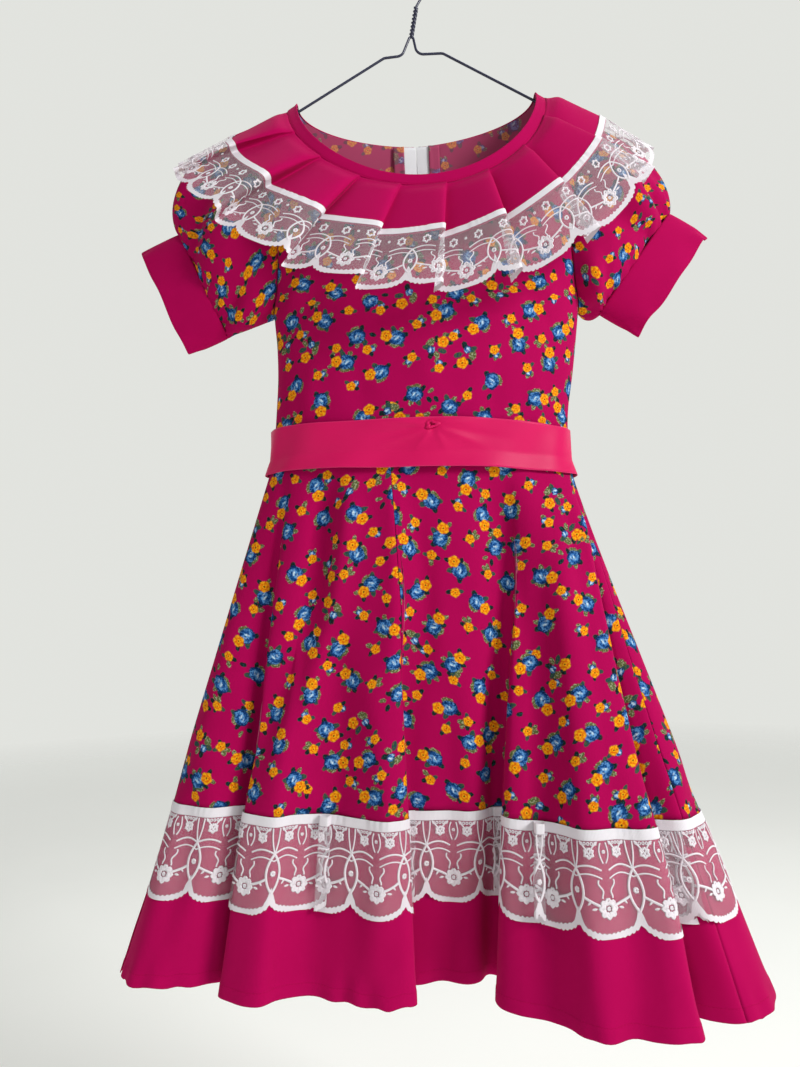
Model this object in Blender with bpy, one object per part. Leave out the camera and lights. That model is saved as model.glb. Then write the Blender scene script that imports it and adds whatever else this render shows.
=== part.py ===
"""A girl's folk dance dress on a thin wire hanger.

Sizes are in millimetres and become metres where each mesh is made. The origin is the inner top of the
hanger's hook, +Z is up, +X is the viewer's right and the front of the dress faces -Y.
"""

import math

import bpy
import numpy as np

for item in list(bpy.data.objects):
    bpy.data.objects.remove(item, do_unlink=True)

MM = 0.001

# Cloth walls and the gap left at each seam
CLOTH_WALL = 1.3
FLOUNCE_WALL = 1.0
LACE_WALL = 1.0
CUFF_WALL = 2.0
RIBBON_WALL = 1.0
TAPE_WALL = 0.9
SEAM_GAP = 0.4
LAYER_GAP = 0.4

# Levels of the dress below the hook
NECK_LEVEL = -147.5
SHOULDER_TIP_LEVEL = -182.1
UNDERARM_LEVEL = -362.0
WAIST_LEVEL = -500.0

# Neck opening and shoulder line
NECK_HALF_WIDTH = 113.0
NECK_FRONT_DROP = 106.0
NECK_BACK_DROP = 24.0
SHOULDER_SLOPE = 0.62
SHOULDER_TIP_X = 168.8
SHOULDER_ROUNDING = 130.0
SHOULDER_FALL = 0.62
SHOULDER_STEPS = 3
NECK_FRONT_STEPS = 10
NECK_BACK_STEPS = 8
NECK_SPACING = 1.5
NECK_SHARE_AT_WAIST = 0.86
PANEL_RISE = 3
SIDE_STEPS = 4

# Cross sections of the bodice, from the waist up
BODY_COLUMNS = ("height", "half_width", "front_depth", "back_depth", "centre", "fullness")
BODY_SECTIONS = (
    (-520.0, 134.5, 45.0, 37.0, -5.0, 1.00),
    (-500.0, 134.5, 45.0, 37.0, -5.0, 1.00),
    (-460.0, 133.5, 47.0, 38.0, -3.5, 1.00),
    (-415.0, 136.0, 49.0, 39.0, 1.0, 0.97),
    (-362.0, 141.0, 50.0, 40.0, 3.0, 0.92),
    (-300.0, 148.0, 50.0, 40.0, 2.0, 0.80),
    (-240.0, 160.0, 50.0, 38.0, 0.5, 0.62),
    (-184.0, 176.0, 50.0, 37.0, -1.0, 0.45),
    (-120.0, 176.0, 50.0, 37.0, -1.0, 0.45),
)

# Edge of the armhole, as an angle from the centre line, 90 at the side seam
ARMHOLE_COLUMNS = ("height", "angle")
ARMHOLE = (
    (-362.0, 90.0),
    (-358.0, 84.0),
    (-348.0, 75.5),
    (-326.0, 68.5),
    (-290.0, 63.5),
    (-245.0, 64.0),
    (-212.0, 68.0),
    (-182.1, 74.0),
)
ARMHOLE_STEPS = 11

# Small lean of the hanging dress: rise in z for each mm to the right
LEAN_COLUMNS = ("height", "rise")
LEAN = (
    (-1100.0, -0.025),
    (-950.0, -0.025),
    (-500.0, -0.022),
    (-360.0, 0.000),
    (-223.0, 0.020),
    (-147.0, 0.027),
    (-100.0, 0.012),
    (-60.0, 0.0),
    (0.0, 0.0),
)

# Neck band and pleated flounce. A row for each pleat's folded edge: where it leaves the neck, as an angle
# round the neck from the centre front, then the way it points, as an angle from straight down in the
# front view and an angle of lift towards the viewer
BINDING_HEIGHT = 9.0
BINDING_CLEAR = 0.5
BINDING_LIFT_AT_SHOULDER = 0.6
BINDING_SHOULDER_SPREAD = 0.12
BINDING_END_CLEAR = 1.5
BINDING_FRONT_STEPS = 12
BINDING_BACK_STEPS = 10
COLLAR_CLEAR = 0.3
COLLAR_START = 0.6
FLOUNCE_LENGTH = 62.0
FLOUNCE_MIDDLE = 28.0
COLLAR_LACE_FROM = 55.0
COLLAR_LACE_MIDDLE = 86.0
COLLAR_LACE_TO = 112.0
COLLAR_LACE_DROOP = 0.14
PLEAT_UNDERLAP_ANGLE = 6.0
PLEAT_HEIGHT_AT_NECK = 4.2
COLLAR_END_GAP = 9.0
COLLAR_FIRST_END = (-3.0, 0.22)
COLLAR_LAST_END = (5.0, 0.26)
# Between two folds: how far along the pleat, and how far its cloth has risen from the tuck to the fold
PLEAT_PROFILE = ((0.0, 0.0), (0.14, 0.03), (0.5, 0.40), (0.86, 0.90), (1.0, 1.06))
PLEAT_COLUMNS = ("neck_angle", "swing", "lift", "stand")
PLEATS = (
    (-160.0, -14.0, -20.0, 7.0),
    (-140.0, -32.0, -20.0, 7.0),
    (-122.0, -50.0, -17.0, 5.0),
    (-106.0, -63.0, -9.0, 4.4),
    (-91.0, -70.0, 0.0, 4.8),
    (-68.0, -66.0, 12.0, 5.0),
    (-47.0, -51.0, 22.0, 9.0),
    (-27.0, -33.0, 22.0, 9.5),
    (-9.0, -18.0, 23.0, 9.5),
    (10.0, -4.0, 22.0, 9.5),
    (29.0, 11.0, 21.0, 9.5),
    (50.0, 30.0, 20.0, 8.5),
    (72.0, 53.0, 15.0, 6.0),
    (93.0, 65.0, -2.0, 8.0),
    (110.0, 61.0, -11.0, 4.6),
    (128.0, 45.0, -18.0, 5.0),
    (146.0, 28.0, -20.0, 7.0),
    (164.0, 12.0, -20.0, 7.0),
)

# Sleeves: the cuff's ring in the front view, and how far the puff bulges past a straight line
SLEEVE_COLUMNS = (
    "side", "cuff_x", "cuff_z", "cuff_top_dx", "cuff_top_dz", "out_dx", "out_dz",
    "head_out", "head_rise", "mouth_out", "mouth_rise", "front_bulge", "back_bulge",
)
SLEEVES = (
    (-1.0, -204.5, -326.5, -22.5, 52.0, -36.0, -17.0, 18.0, 20.0, 34.0, 2.0, 22.0, 18.0),
    (1.0, 199.5, -317.0, 35.0, 46.0, 34.5, -22.5, 16.0, 10.0, 28.0, 4.0, 22.0, 18.0),
)
CUFF_HALF_DEPTH = 15.0
CUFF_STEPS = 28
CUFF_CLEAR = 0.35
SLEEVE_STRIPS = 6
SLEEVE_FOLDS = 5
SLEEVE_FOLD_DEPTH = 3.5
SLEEVE_SEAM_OUT = 0.3
SLEEVE_END_SHARE = -0.012
PUFF_SHARPNESS = 1.3
PUFF_HEAD_SIDE = 6.0
PUFF_MOUTH_SIDE = -2.0
PUFF_UNDERSIDE = -4.0
PUFF_MOUTH_BULGE = 0.95

# Ribbon round the waist
RIBBON_TOP = -472.0
RIBBON_BOTTOM = -514.0
RIBBON_CLEAR = 2.2
RIBBON_FLARE = 0.30
RIBBON_DEPTH_FLARE = 0.45
RIBBON_LEAN = 2.6
RIBBON_END_CLEAR = 1.0
RIBBON_STEPS = 44

# Skirt: a row for each crest, valley or folded edge of the hem, going round from the left side seam
# over the front to the right, then along the back
SKIRT_COLUMNS = ("waist_angle", "hem_x", "hem_y", "hem_z")
SKIRT_FOLDS = (
    (-90.0, -277.0, 14.0, -948.0),
    (-82.0, -260.0, -7.0, -949.0),
    (-75.0, -225.0, -10.0, -950.0),
    (-68.0, -194.0, -2.0, -950.0),
    (-64.5, -179.0, 9.0, -951.0),
    (-62.0, -169.0, 7.0, -951.0),
    (-60.0, -171.0, -3.0, -951.0),
    (-57.5, -184.0, -9.0, -952.0),
    (-55.0, -185.0, -18.0, -953.0),
    (-51.0, -170.0, -27.0, -954.0),
    (-45.0, -150.0, -31.0, -955.0),
    (-40.0, -136.0, -21.0, -954.0),
    (-33.0, -113.0, -12.0, -955.0),
    (-25.0, -84.0, -19.0, -956.0),
    (-18.0, -52.0, -29.0, -957.0),
    (-13.5, -28.0, -30.0, -956.0),
    (-12.0, -20.0, -22.0, -956.0),
    (-10.5, -25.0, -13.0, -955.0),
    (-8.5, -35.0, -6.0, -954.0),
    (-6.5, -37.0, 3.0, -954.0),
    (-3.5, -26.0, 9.0, -953.0),
    (8.0, 6.0, 8.0, -953.0),
    (20.0, 34.0, 9.0, -951.0),
    (27.0, 46.0, 19.0, -951.0),
    (31.0, 56.0, 18.0, -951.0),
    (33.5, 56.0, 6.0, -951.0),
    (35.5, 48.0, -10.0, -951.0),
    (37.5, 43.0, -27.0, -951.0),
    (39.5, 46.0, -39.0, -952.0),
    (43.0, 60.0, -49.0, -953.0),
    (49.0, 84.0, -54.0, -954.0),
    (54.0, 97.0, -67.0, -954.0),
    (59.0, 114.0, -83.0, -955.0),
    (65.0, 146.0, -80.0, -954.0),
    (71.0, 173.0, -87.0, -954.0),
    (74.5, 188.0, -86.0, -953.0),
    (76.0, 191.0, -76.0, -953.0),
    (78.0, 182.0, -67.0, -952.0),
    (80.0, 173.0, -60.0, -952.0),
    (82.0, 174.0, -50.0, -952.0),
    (84.5, 188.0, -48.0, -952.0),
    (87.0, 206.0, -57.0, -952.0),
    (91.0, 232.0, -61.0, -951.0),
    (97.0, 262.0, -42.0, -949.0),
    (103.0, 276.0, -13.0, -948.0),
    (109.0, 272.0, 17.0, -948.0),
    (116.0, 250.0, 38.0, -949.0),
    (124.0, 220.0, 46.0, -950.0),
    (133.0, 186.0, 37.0, -951.0),
    (143.0, 152.0, 50.0, -952.0),
    (155.0, 112.0, 57.0, -953.0),
    (167.0, 68.0, 46.0, -954.0),
    (180.0, 18.0, 58.0, -954.0),
    (191.0, -24.0, 60.0, -954.0),
    (202.0, -64.0, 49.0, -954.0),
    (213.0, -104.0, 58.0, -953.0),
    (224.0, -146.0, 60.0, -952.0),
    (235.0, -184.0, 48.0, -951.0),
    (246.0, -220.0, 56.0, -950.0),
    (257.0, -253.0, 46.0, -949.0),
    (264.0, -271.0, 31.0, -948.0),
)
SKIRT_LEFT_SIDE_ROW = 0
SKIRT_FRONT_SEAM_ROW = 16
SKIRT_RIGHT_SIDE_ROW = 42
SKIRT_BACK_SEAM_ROW = 52
SKIRT_STEPS = 2
BAND_HEIGHT = 146.0
SKIRT_LACE_HEIGHT = 75.0
PRINT_ROWS = (0.0, 0.235, 0.255, 0.62, 1.0)

# Zip at the centre back
ZIP_GAP = 5.0
ZIP_TOP = -179.0
ZIP_END = -574.0
TAPE_WIDTH = 13.0
TAPE_INSIDE = 0.4
TAPE_LEAN = 1.0
TAPE_FROM_CENTRE = 0.2
SLIDER_CLEAR = 0.35
SLIDER_WIDTH = 7.0
SLIDER_HEIGHT = 9.0
SLIDER_THICKNESS = 2.2
SLIDER_LEVEL = -192.0
BRIDGE_HALF_HEIGHT = 3.0
BRIDGE_EYE = 2.2
BRIDGE_BAR = 1.0
BRIDGE_WIDTH = 1.6
PULL_LENGTH = 24.0
PULL_WIDTH = 6.4
PULL_TOP_WIDTH = 4.6
PULL_THICKNESS = 1.0
PULL_PIN = 1.0
PULL_SLOT_WIDTH = 2.6
PULL_SLOT_LENGTH = 3.9

# Hanger
WIRE_RADIUS = 1.25
HOOK_INNER_RADIUS = 19.0
TWIST_TOP = (1.3, -48.0)
TWIST_BOTTOM = (-4.3, -80.0)
TWIST_TURNS = 4.0
TWIST_OFFSET = 1.05
TWIST_STEPS = 22
TWIST_SIDES = 10
WIRE_SIDES = 8
HOOK_FROM_ANGLE = -38.0
HOOK_TO_ANGLE = 205.0
HOOK_STEPS = 20
HOOK_STEM_LEVEL = -37.5
ARM_TOP = (-3.4, -73.5)
ARM_RIGHT_KNEE = (1.0, -97.6)
ARM_LEFT_KNEE = (-13.5, -98.6)
ARM_RIGHT_BEND_X = 26.0
ARM_LEFT_BEND_X = -31.0
ARM_TOP_RADIUS = 2.2
ARM_KNEE_RADIUS = 8.0
ARM_BEND_RADIUS = 7.0
ARM_END_X = 196.0
ARM_SPREAD_TO_BAR = 4.0
ARM_BELOW_SHOULDER = 3.7
BAR_LEVEL = -223.0
ARM_END_RADIUS = 7.15
BAR_END_RADIUS = 9.1
CORNER_STEPS = 5


def column(rows, names, name):
    return np.array([row[names.index(name)] for row in rows], float)


def eased(at, knots, values):
    """A smooth curve through (knots, values), level past both ends."""
    at = np.clip(at, knots[0], knots[-1])
    steps = np.diff(knots)
    slopes = np.diff(values) / steps
    tangents = np.zeros(len(knots))
    weights = steps[:-1] + steps[1:]
    tangents[1:-1] = (slopes[:-1] * steps[1:] + slopes[1:] * steps[:-1]) / weights
    tangents[0] = slopes[0]
    tangents[-1] = slopes[-1]
    index = np.clip(np.searchsorted(knots, at, side="right") - 1, 0, len(knots) - 2)
    step = steps[index]
    part = (at - knots[index]) / step
    return (
        (2 * part**3 - 3 * part**2 + 1) * values[index]
        + (part**3 - 2 * part**2 + part) * step * tangents[index]
        + (3 * part**2 - 2 * part**3) * values[index + 1]
        + (part**3 - part**2) * step * tangents[index + 1]
    )


def from_table(at, rows, names, name):
    return eased(at, column(rows, names, names[0]), column(rows, names, name))


def body_size(height, name):
    return from_table(height, BODY_SECTIONS, BODY_COLUMNS, name)


def shoulder_line(x):
    return NECK_LEVEL - SHOULDER_SLOPE * (np.abs(x) - NECK_HALF_WIDTH)


def body_point(angle, height, facing):
    """Outside of the bodice: angle from the centre line in radians, facing -1 for front and 1 for back."""
    x = body_size(height, "half_width") * np.sin(angle)
    drop = np.clip((shoulder_line(x) - height) / SHOULDER_ROUNDING, 0.0, 1.0)
    name = "front_depth" if facing < 0 else "back_depth"
    across = np.maximum(np.cos(angle), 0.0) ** body_size(height, "fullness")
    depth = body_size(height, name) * across * np.sin(0.5 * math.pi * drop) ** SHOULDER_FALL
    return np.stack([x + body_size(height, "centre"), facing * depth, height + 0 * x], axis=-1)


def unit(vectors):
    return vectors / np.maximum(np.linalg.norm(vectors, axis=-1, keepdims=True), 1e-9)


def grid_normals(points, round_u, own_middle=False):
    """Normals of a grid [along, down], pointing away from the body or from the grid's own middle."""
    if round_u:
        along = unit(np.roll(points, -1, axis=0) - points) + unit(points - np.roll(points, 1, axis=0))
    else:
        step = unit(np.diff(points, axis=0))
        along = np.concatenate([step[:1], step[1:] + step[:-1], step[-1:]])
    down = np.gradient(points, axis=1)
    normals = unit(np.cross(along, down))
    middle = points.reshape(-1, 3).mean(axis=0) if own_middle else np.zeros(3)
    away = points - middle
    if not own_middle:
        away[..., 2] = 0.0
    return normals if (normals * away).sum() > 0 else -normals


def leaned(points):
    moved = points.copy()
    rise = from_table(points[..., 2], LEAN, LEAN_COLUMNS, "rise")
    moved[..., 2] += rise * points[..., 0]
    return moved


def material(name, colour, roughness, metallic=0.0):
    made = bpy.data.materials.new(name)
    made.use_nodes = True
    shader = made.node_tree.nodes["Principled BSDF"]
    shader.inputs["Base Color"].default_value = (*colour, 1.0)
    shader.inputs["Roughness"].default_value = roughness
    shader.inputs["Metallic"].default_value = metallic
    made.diffuse_color = (*colour, 1.0)
    return made


def add_mesh(name, points, triangles, look, origin=(0.0, 0.0, 0.0)):
    """An object from points in millimetres, with its faces turned outward."""
    if np.linalg.det(points[triangles] - points.mean(axis=0)).sum() < 0:
        triangles = triangles[:, ::-1]
    local = (points - np.array(origin)) * MM
    mesh = bpy.data.meshes.new(name)
    mesh.from_pydata(local.tolist(), [], triangles.tolist())
    mesh.polygons.foreach_set("use_smooth", np.ones(len(mesh.polygons), bool))
    mesh.set_sharp_from_angle(angle=math.radians(50))
    mesh.materials.append(look)
    made = bpy.data.objects.new(name, mesh)
    made.location = [value * MM for value in origin]
    bpy.context.scene.collection.objects.link(made)
    return made


def add_cloth(name, outer, normals, wall, look, round_u=False, half_out=False):
    """A cloth wall: the outer grid [along, down], the same grid moved in, and a rim on each open edge."""
    along, down = outer.shape[:2]
    if half_out:
        outer = outer + normals * 0.5 * wall
    inner = outer - normals * wall
    points = leaned(np.concatenate([outer.reshape(-1, 3), inner.reshape(-1, 3)]))
    number = np.arange(along * down).reshape(along, down)
    if round_u:
        number = np.concatenate([number, number[:1]], axis=0)
    a = number[:-1, :-1].ravel()
    b = number[1:, :-1].ravel()
    c = number[1:, 1:].ravel()
    d = number[:-1, 1:].ravel()
    outside = np.concatenate([np.stack([a, b, c], 1), np.stack([a, c, d], 1)])
    inside = outside[:, ::-1] + along * down
    first = [number[:-1, 0], number[1:, -1]]
    second = [number[1:, 0], number[:-1, -1]]
    if not round_u:
        first += [number[0, 1:], number[-1, :-1]]
        second += [number[0, :-1], number[-1, 1:]]
    first = np.concatenate(first)
    second = np.concatenate(second)
    more = along * down
    rim = np.concatenate([
        np.stack([second, first, first + more], 1),
        np.stack([second, first + more, second + more], 1),
    ])
    return add_mesh(name, points, np.concatenate([outside, inside, rim]), look)


def add_tube(name, ends, ring, look, closed=False):
    """Rings of points [step, round] joined into a tube. Open ends are capped round their end points."""
    steps, count = ring.shape[:2]
    points = ring.reshape(-1, 3)
    number = np.arange(steps * count).reshape(steps, count)
    rows = np.concatenate([number, number[:1]]) if closed else number
    rows = np.concatenate([rows, rows[:, :1]], axis=1)
    a = rows[:-1, :-1].ravel()
    b = rows[1:, :-1].ravel()
    c = rows[1:, 1:].ravel()
    d = rows[:-1, 1:].ravel()
    triangles = [np.stack([a, b, c], 1), np.stack([a, c, d], 1)]
    if not closed:
        points = np.concatenate([points, ends])
        for row, centre, turn in ((number[0], steps * count, 1), (number[-1], steps * count + 1, -1)):
            after = np.roll(row, -1)
            cap = np.stack([row, after, np.full(count, centre)], 1)
            triangles.append(cap[:, ::turn])
    return add_mesh(name, leaned(points), np.concatenate(triangles), look)


def flat_tube_rings(path, radius, count, closed=False):
    """Rings round a path [step, (x, z)] that lies in the plane y = 0."""
    if closed:
        ahead = np.roll(path, -1, axis=0) - np.roll(path, 1, axis=0)
    else:
        ahead = np.gradient(path, axis=0)
    ahead = unit(ahead)
    turn = np.arange(count) * 2 * math.pi / count
    rings = np.zeros((len(path), count, 3))
    rings[..., 0] = path[:, None, 0] - ahead[:, None, 1] * np.cos(turn) * radius
    rings[..., 2] = path[:, None, 1] + ahead[:, None, 0] * np.cos(turn) * radius
    rings[..., 1] = np.sin(turn) * radius
    return rings


def rounded_corner(before, corner, after, radius, steps):
    """Points of the arc that rounds one corner of a path."""
    back = unit(np.array(before) - np.array(corner))
    forth = unit(np.array(after) - np.array(corner))
    half = 0.5 * math.acos(float(np.dot(back, forth)))
    middle = np.array(corner) + unit(back + forth) * radius / math.sin(half)
    start = np.array(corner) + back * radius / math.tan(half)
    end = np.array(corner) + forth * radius / math.tan(half)
    part = np.linspace(0, 1, steps)[:, None]
    return middle + unit(start * (1 - part) + end * part - middle) * radius


print_look = material("printed_cloth", (0.45, 0.010, 0.110), 0.85)
plain_look = material("plain_cloth", (0.47, 0.004, 0.085), 0.80)
lace_look = material("lace", (0.86, 0.82, 0.86), 0.85)
ribbon_look = material("satin_ribbon", (0.60, 0.010, 0.110), 0.35)
tape_look = material("zip_tape", (0.85, 0.85, 0.86), 0.80)
slider_look = material("zip_metal", (0.80, 0.80, 0.82), 0.35, 0.8)
wire_look = material("coated_wire", (0.012, 0.014, 0.045), 0.35)

# Bodice
armhole_turn = np.linspace(math.pi, 0.0, ARMHOLE_STEPS + 1)
armhole_middle = 0.5 * (SHOULDER_TIP_LEVEL + UNDERARM_LEVEL)
armhole_half = 0.5 * (SHOULDER_TIP_LEVEL - UNDERARM_LEVEL)
armhole_levels = armhole_middle + armhole_half * np.cos(armhole_turn)
side_levels = np.concatenate([
    np.linspace(WAIST_LEVEL + 0.5 * SEAM_GAP, UNDERARM_LEVEL, SIDE_STEPS + 1)[:-1],
    armhole_levels,
])


def side_angle(height):
    angle = np.radians(from_table(height, ARMHOLE, ARMHOLE_COLUMNS, "angle"))
    return np.where(height < UNDERARM_LEVEL, 0.5 * math.pi, angle)


def panel_columns(neck_drop, shoulder_steps, neck_steps):
    """Top edge from the shoulder tip to the centre line, with its share of the side angle at top and waist."""
    shoulder_x = np.linspace(SHOULDER_TIP_X, NECK_HALF_WIDTH, shoulder_steps + 1)[:-1]
    turn = 0.5 * math.pi * (1 - np.linspace(0, 1, neck_steps + 1) ** NECK_SPACING)
    x = np.concatenate([shoulder_x, NECK_HALF_WIDTH * np.sin(turn)])
    z = np.concatenate([shoulder_line(shoulder_x), NECK_LEVEL - neck_drop * np.cos(turn)])
    tip = math.asin(SHOULDER_TIP_X / body_size(np.array(SHOULDER_TIP_LEVEL), "half_width"))
    top = np.arcsin(x / body_size(z, "half_width")) / tip
    waist = np.concatenate([
        np.linspace(1.0, NECK_SHARE_AT_WAIST, shoulder_steps + 1)[:-1],
        np.linspace(NECK_SHARE_AT_WAIST, 0.0, neck_steps + 1),
    ])
    return top, waist, z


def panel_grid(facing, top, waist, top_level):
    part = (side_levels - side_levels[0]) / (side_levels[-1] - side_levels[0])
    rise = part[None, :] ** PANEL_RISE
    height = side_levels[None, :] + rise * (top_level[:, None] - side_levels[-1])
    share = waist[:, None] + rise * (top - waist)[:, None]
    angle = share * side_angle(side_levels)[None, :]
    return body_point(angle, height, facing)


def seamed(normals, shoulder_columns, side_columns):
    """Keeps a panel's wall square to its shoulder and side seams, so that two panels only face there."""
    below = side_levels < UNDERARM_LEVEL + 1e-6
    for index in shoulder_columns:
        normals[index, -1, 1] = 0.0
    for index in side_columns:
        normals[index, below, 1] = 0.0
    return unit(normals)


def make_bodice():
    top, waist, level = panel_columns(NECK_FRONT_DROP, SHOULDER_STEPS, NECK_FRONT_STEPS)
    top = np.concatenate([-top, top[-2::-1]])
    waist = np.concatenate([-waist, waist[-2::-1]])
    level = np.concatenate([level, level[-2::-1]])
    grid = panel_grid(-1, top, waist, level)
    grid[..., 1] -= 0.5 * SEAM_GAP
    normals = grid_normals(grid, False)
    left_shoulder = tuple(range(SHOULDER_STEPS + 1))
    right_shoulder = tuple(-1 - index for index in left_shoulder)
    normals = seamed(normals, left_shoulder + right_shoulder, (0, -1))
    add_cloth("bodice_front", grid, normals, CLOTH_WALL, print_look)
    top, waist, level = panel_columns(NECK_BACK_DROP, SHOULDER_STEPS, NECK_BACK_STEPS)
    for side, name in ((-1, "bodice_back_left"), (1, "bodice_back_right")):
        grid = panel_grid(1, side * top, side * waist, level)
        centre = body_size(grid[..., 2], "centre")
        across = np.abs(grid[..., 0] - centre)
        width = body_size(grid[..., 2], "half_width")
        grid[..., 0] = centre + side * (0.5 * ZIP_GAP + across * (1 - 0.5 * ZIP_GAP / width))
        grid[..., 1] += 0.5 * SEAM_GAP
        normals = seamed(grid_normals(grid, False), left_shoulder, (0,))
        add_cloth(name, grid, normals, CLOTH_WALL, print_look)


# Neck band, flounce and its lace
def neck_point(turn, below):
    """A point round the neck: turn from the centre front, and how far below the edge along the cloth."""
    front = np.cos(turn) > 0
    drop = np.where(front, NECK_FRONT_DROP, NECK_BACK_DROP)
    level = np.abs(np.cos(turn))
    x = (NECK_HALF_WIDTH + below) * np.sin(turn)
    z = NECK_LEVEL - (drop + below) * level - SHOULDER_SLOPE * below * (1 - level)
    angle = np.arcsin(np.clip(x / body_size(z, "half_width"), -1, 1))
    return np.where(front[..., None], body_point(angle, z, -1), body_point(angle, z, 1))


def neck_frame(turn, below):
    """The tangent round the neck and the cloth's normal, from nearby points of the same surface."""
    small_turn = 0.02
    small_drop = 1.5
    along = neck_point(turn + small_turn, below) - neck_point(turn - small_turn, below)
    down = neck_point(turn, below + small_drop) - neck_point(turn, below)
    return unit(along), unit(np.cross(down, along))


def collar_end_turn():
    return math.pi - COLLAR_END_GAP / (NECK_HALF_WIDTH + BINDING_HEIGHT)


def make_binding():
    end = math.pi - (0.5 * ZIP_GAP + BINDING_END_CLEAR) / NECK_HALF_WIDTH
    quarter = 0.5 * math.pi
    front = quarter * (1 - np.linspace(0, 1, BINDING_FRONT_STEPS + 1) ** NECK_SPACING)
    behind = quarter + (end - quarter) * np.linspace(0, 1, BINDING_BACK_STEPS + 1)[1:] ** NECK_SPACING
    half = np.concatenate([front[::-1], behind])
    turn = np.concatenate([-half[:0:-1], half])[:, None]
    below = np.array([0.0, BINDING_HEIGHT])[None, :] + 0.0 * turn
    turn = turn + 0.0 * below
    _, normal = neck_frame(turn, below)
    at_shoulder = np.exp(-(((np.abs(turn) - quarter) / BINDING_SHOULDER_SPREAD) ** 2))[..., None]
    lift = LAYER_GAP + BINDING_CLEAR + BINDING_LIFT_AT_SHOULDER * at_shoulder + CLOTH_WALL
    outer = neck_point(turn, below) + normal * lift
    add_cloth("neck_binding", outer, grid_normals(outer, False), CLOTH_WALL, plain_look)


def pleat_controls():
    """Control rows of the pleated path: neck angle, height off the cloth, and a direction for each."""
    names = PLEAT_COLUMNS
    fold_turn = np.radians(column(PLEATS, names, "neck_angle"))
    swing = np.radians(column(PLEATS, names, "swing"))
    lift = np.radians(column(PLEATS, names, "lift"))
    fold_way = np.stack([np.cos(lift) * np.sin(swing), -np.sin(lift), -np.cos(lift) * np.cos(swing)], 1)
    tangent, normal = neck_frame(fold_turn, BINDING_HEIGHT + 0 * fold_turn)
    side = math.tan(math.radians(PLEAT_UNDERLAP_ANGLE))
    low = np.tan(np.radians(column(PLEATS, names, "stand")))[:, None]
    up = unit(normal - (normal * fold_way).sum(1, keepdims=True) * fold_way)
    tuck_way = unit(fold_way - side * tangent - low * up)
    end = collar_end_turn()
    rows = []
    first_way, last_way = (
        unit(np.array([math.sin(math.radians(swing_angle)), backward, -1.0]))
        for swing_angle, backward in (COLLAR_FIRST_END, COLLAR_LAST_END)
    )
    starts = [(-end, first_way)] + list(zip(fold_turn, tuck_way))
    ends = list(zip(fold_turn, fold_way)) + [(end, last_way)]
    high = PLEAT_HEIGHT_AT_NECK
    for (turn_a, way_a), (turn_b, way_b) in zip(starts, ends):
        for part, rise in PLEAT_PROFILE:
            way = unit(way_a * (1 - rise) + way_b * rise) * 0.5
            way = way + unit(way_a * (1 - part) + way_b * part) * 0.5
            rows.append([turn_a + (turn_b - turn_a) * part, high * rise, *unit(way)])
        rows.append([turn_b, 0.5 * high, *way_b])
    rows_per_pleat = len(PLEAT_PROFILE) + 1
    for index in range(rows_per_pleat, len(rows), rows_per_pleat):
        rows[index - 1][2:] = list(unit(np.array(rows[index - 2][2:]) + np.array(rows[index][2:])))
    return np.array(rows[:-1])


def spline(rows, at):
    """Uniform cubic B-spline through the middle of its control rows."""
    index = np.clip(np.floor(at).astype(int), 0, len(rows) - 2)
    part = (at - index)[:, None]
    padded = np.concatenate([2 * rows[:1] - rows[1:2], rows, 2 * rows[-1:] - rows[-2:-1]])
    a, b, c, d = (padded[index + shift] for shift in range(4))
    return (
        (1 - part) ** 3 * a
        + (3 * part**3 - 6 * part**2 + 4) * b
        + (-3 * part**3 + 3 * part**2 + 3 * part + 1) * c
        + part**3 * d
    ) / 6


def collar_surface(lengths):
    """Lengths of cloth down from the neck band, at each control row of the pleats."""
    rows = pleat_controls()
    path = spline(rows, np.arange(len(rows)))
    turn = path[:, 0]
    below = BINDING_HEIGHT + COLLAR_START + 0 * turn
    _, normal = neck_frame(turn, below)
    base = neck_point(turn, below) + normal * (LAYER_GAP + FLOUNCE_WALL + COLLAR_CLEAR + path[:, 1:2])
    lengths = np.asarray(lengths)[None, :, None]
    grid = base[:, None, :] + path[:, None, 2:] * lengths
    grid[..., 2] -= np.maximum(lengths[..., 0] - FLOUNCE_LENGTH, 0) * COLLAR_LACE_DROOP
    return grid


def make_collar():
    flounce = collar_surface([0.0, FLOUNCE_MIDDLE, COLLAR_LACE_FROM, FLOUNCE_LENGTH])
    normals = grid_normals(flounce, False)
    add_cloth("collar_flounce", flounce, normals, FLOUNCE_WALL, plain_look, half_out=True)
    lace = collar_surface([COLLAR_LACE_FROM, FLOUNCE_LENGTH, COLLAR_LACE_MIDDLE, COLLAR_LACE_TO])
    normals = grid_normals(lace, False)
    lace = lace + normals * (LAYER_GAP + LACE_WALL)
    add_cloth("collar_lace", lace, normals, LACE_WALL, lace_look, half_out=True)


# Sleeves and cuffs
def armhole_ring(side):
    """The armhole's edge, from the shoulder over the front to the underarm and back up behind."""
    down = armhole_levels[::-1]
    front = body_point(side * side_angle(down), down, -1)
    back = body_point(side * side_angle(down[::-1]), down[::-1], 1)
    front[..., 1] -= 0.5 * SEAM_GAP
    back[..., 1] += 0.5 * SEAM_GAP
    ring = np.concatenate([front, back[1:-1]])
    ring[0, 1] = 0.0
    ring[..., 0] += side * (SLEEVE_SEAM_OUT + SEAM_GAP)
    return ring


def sleeve_values(side):
    row = SLEEVES[0] if side < 0 else SLEEVES[1]
    return dict(zip(SLEEVE_COLUMNS, row))


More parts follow.
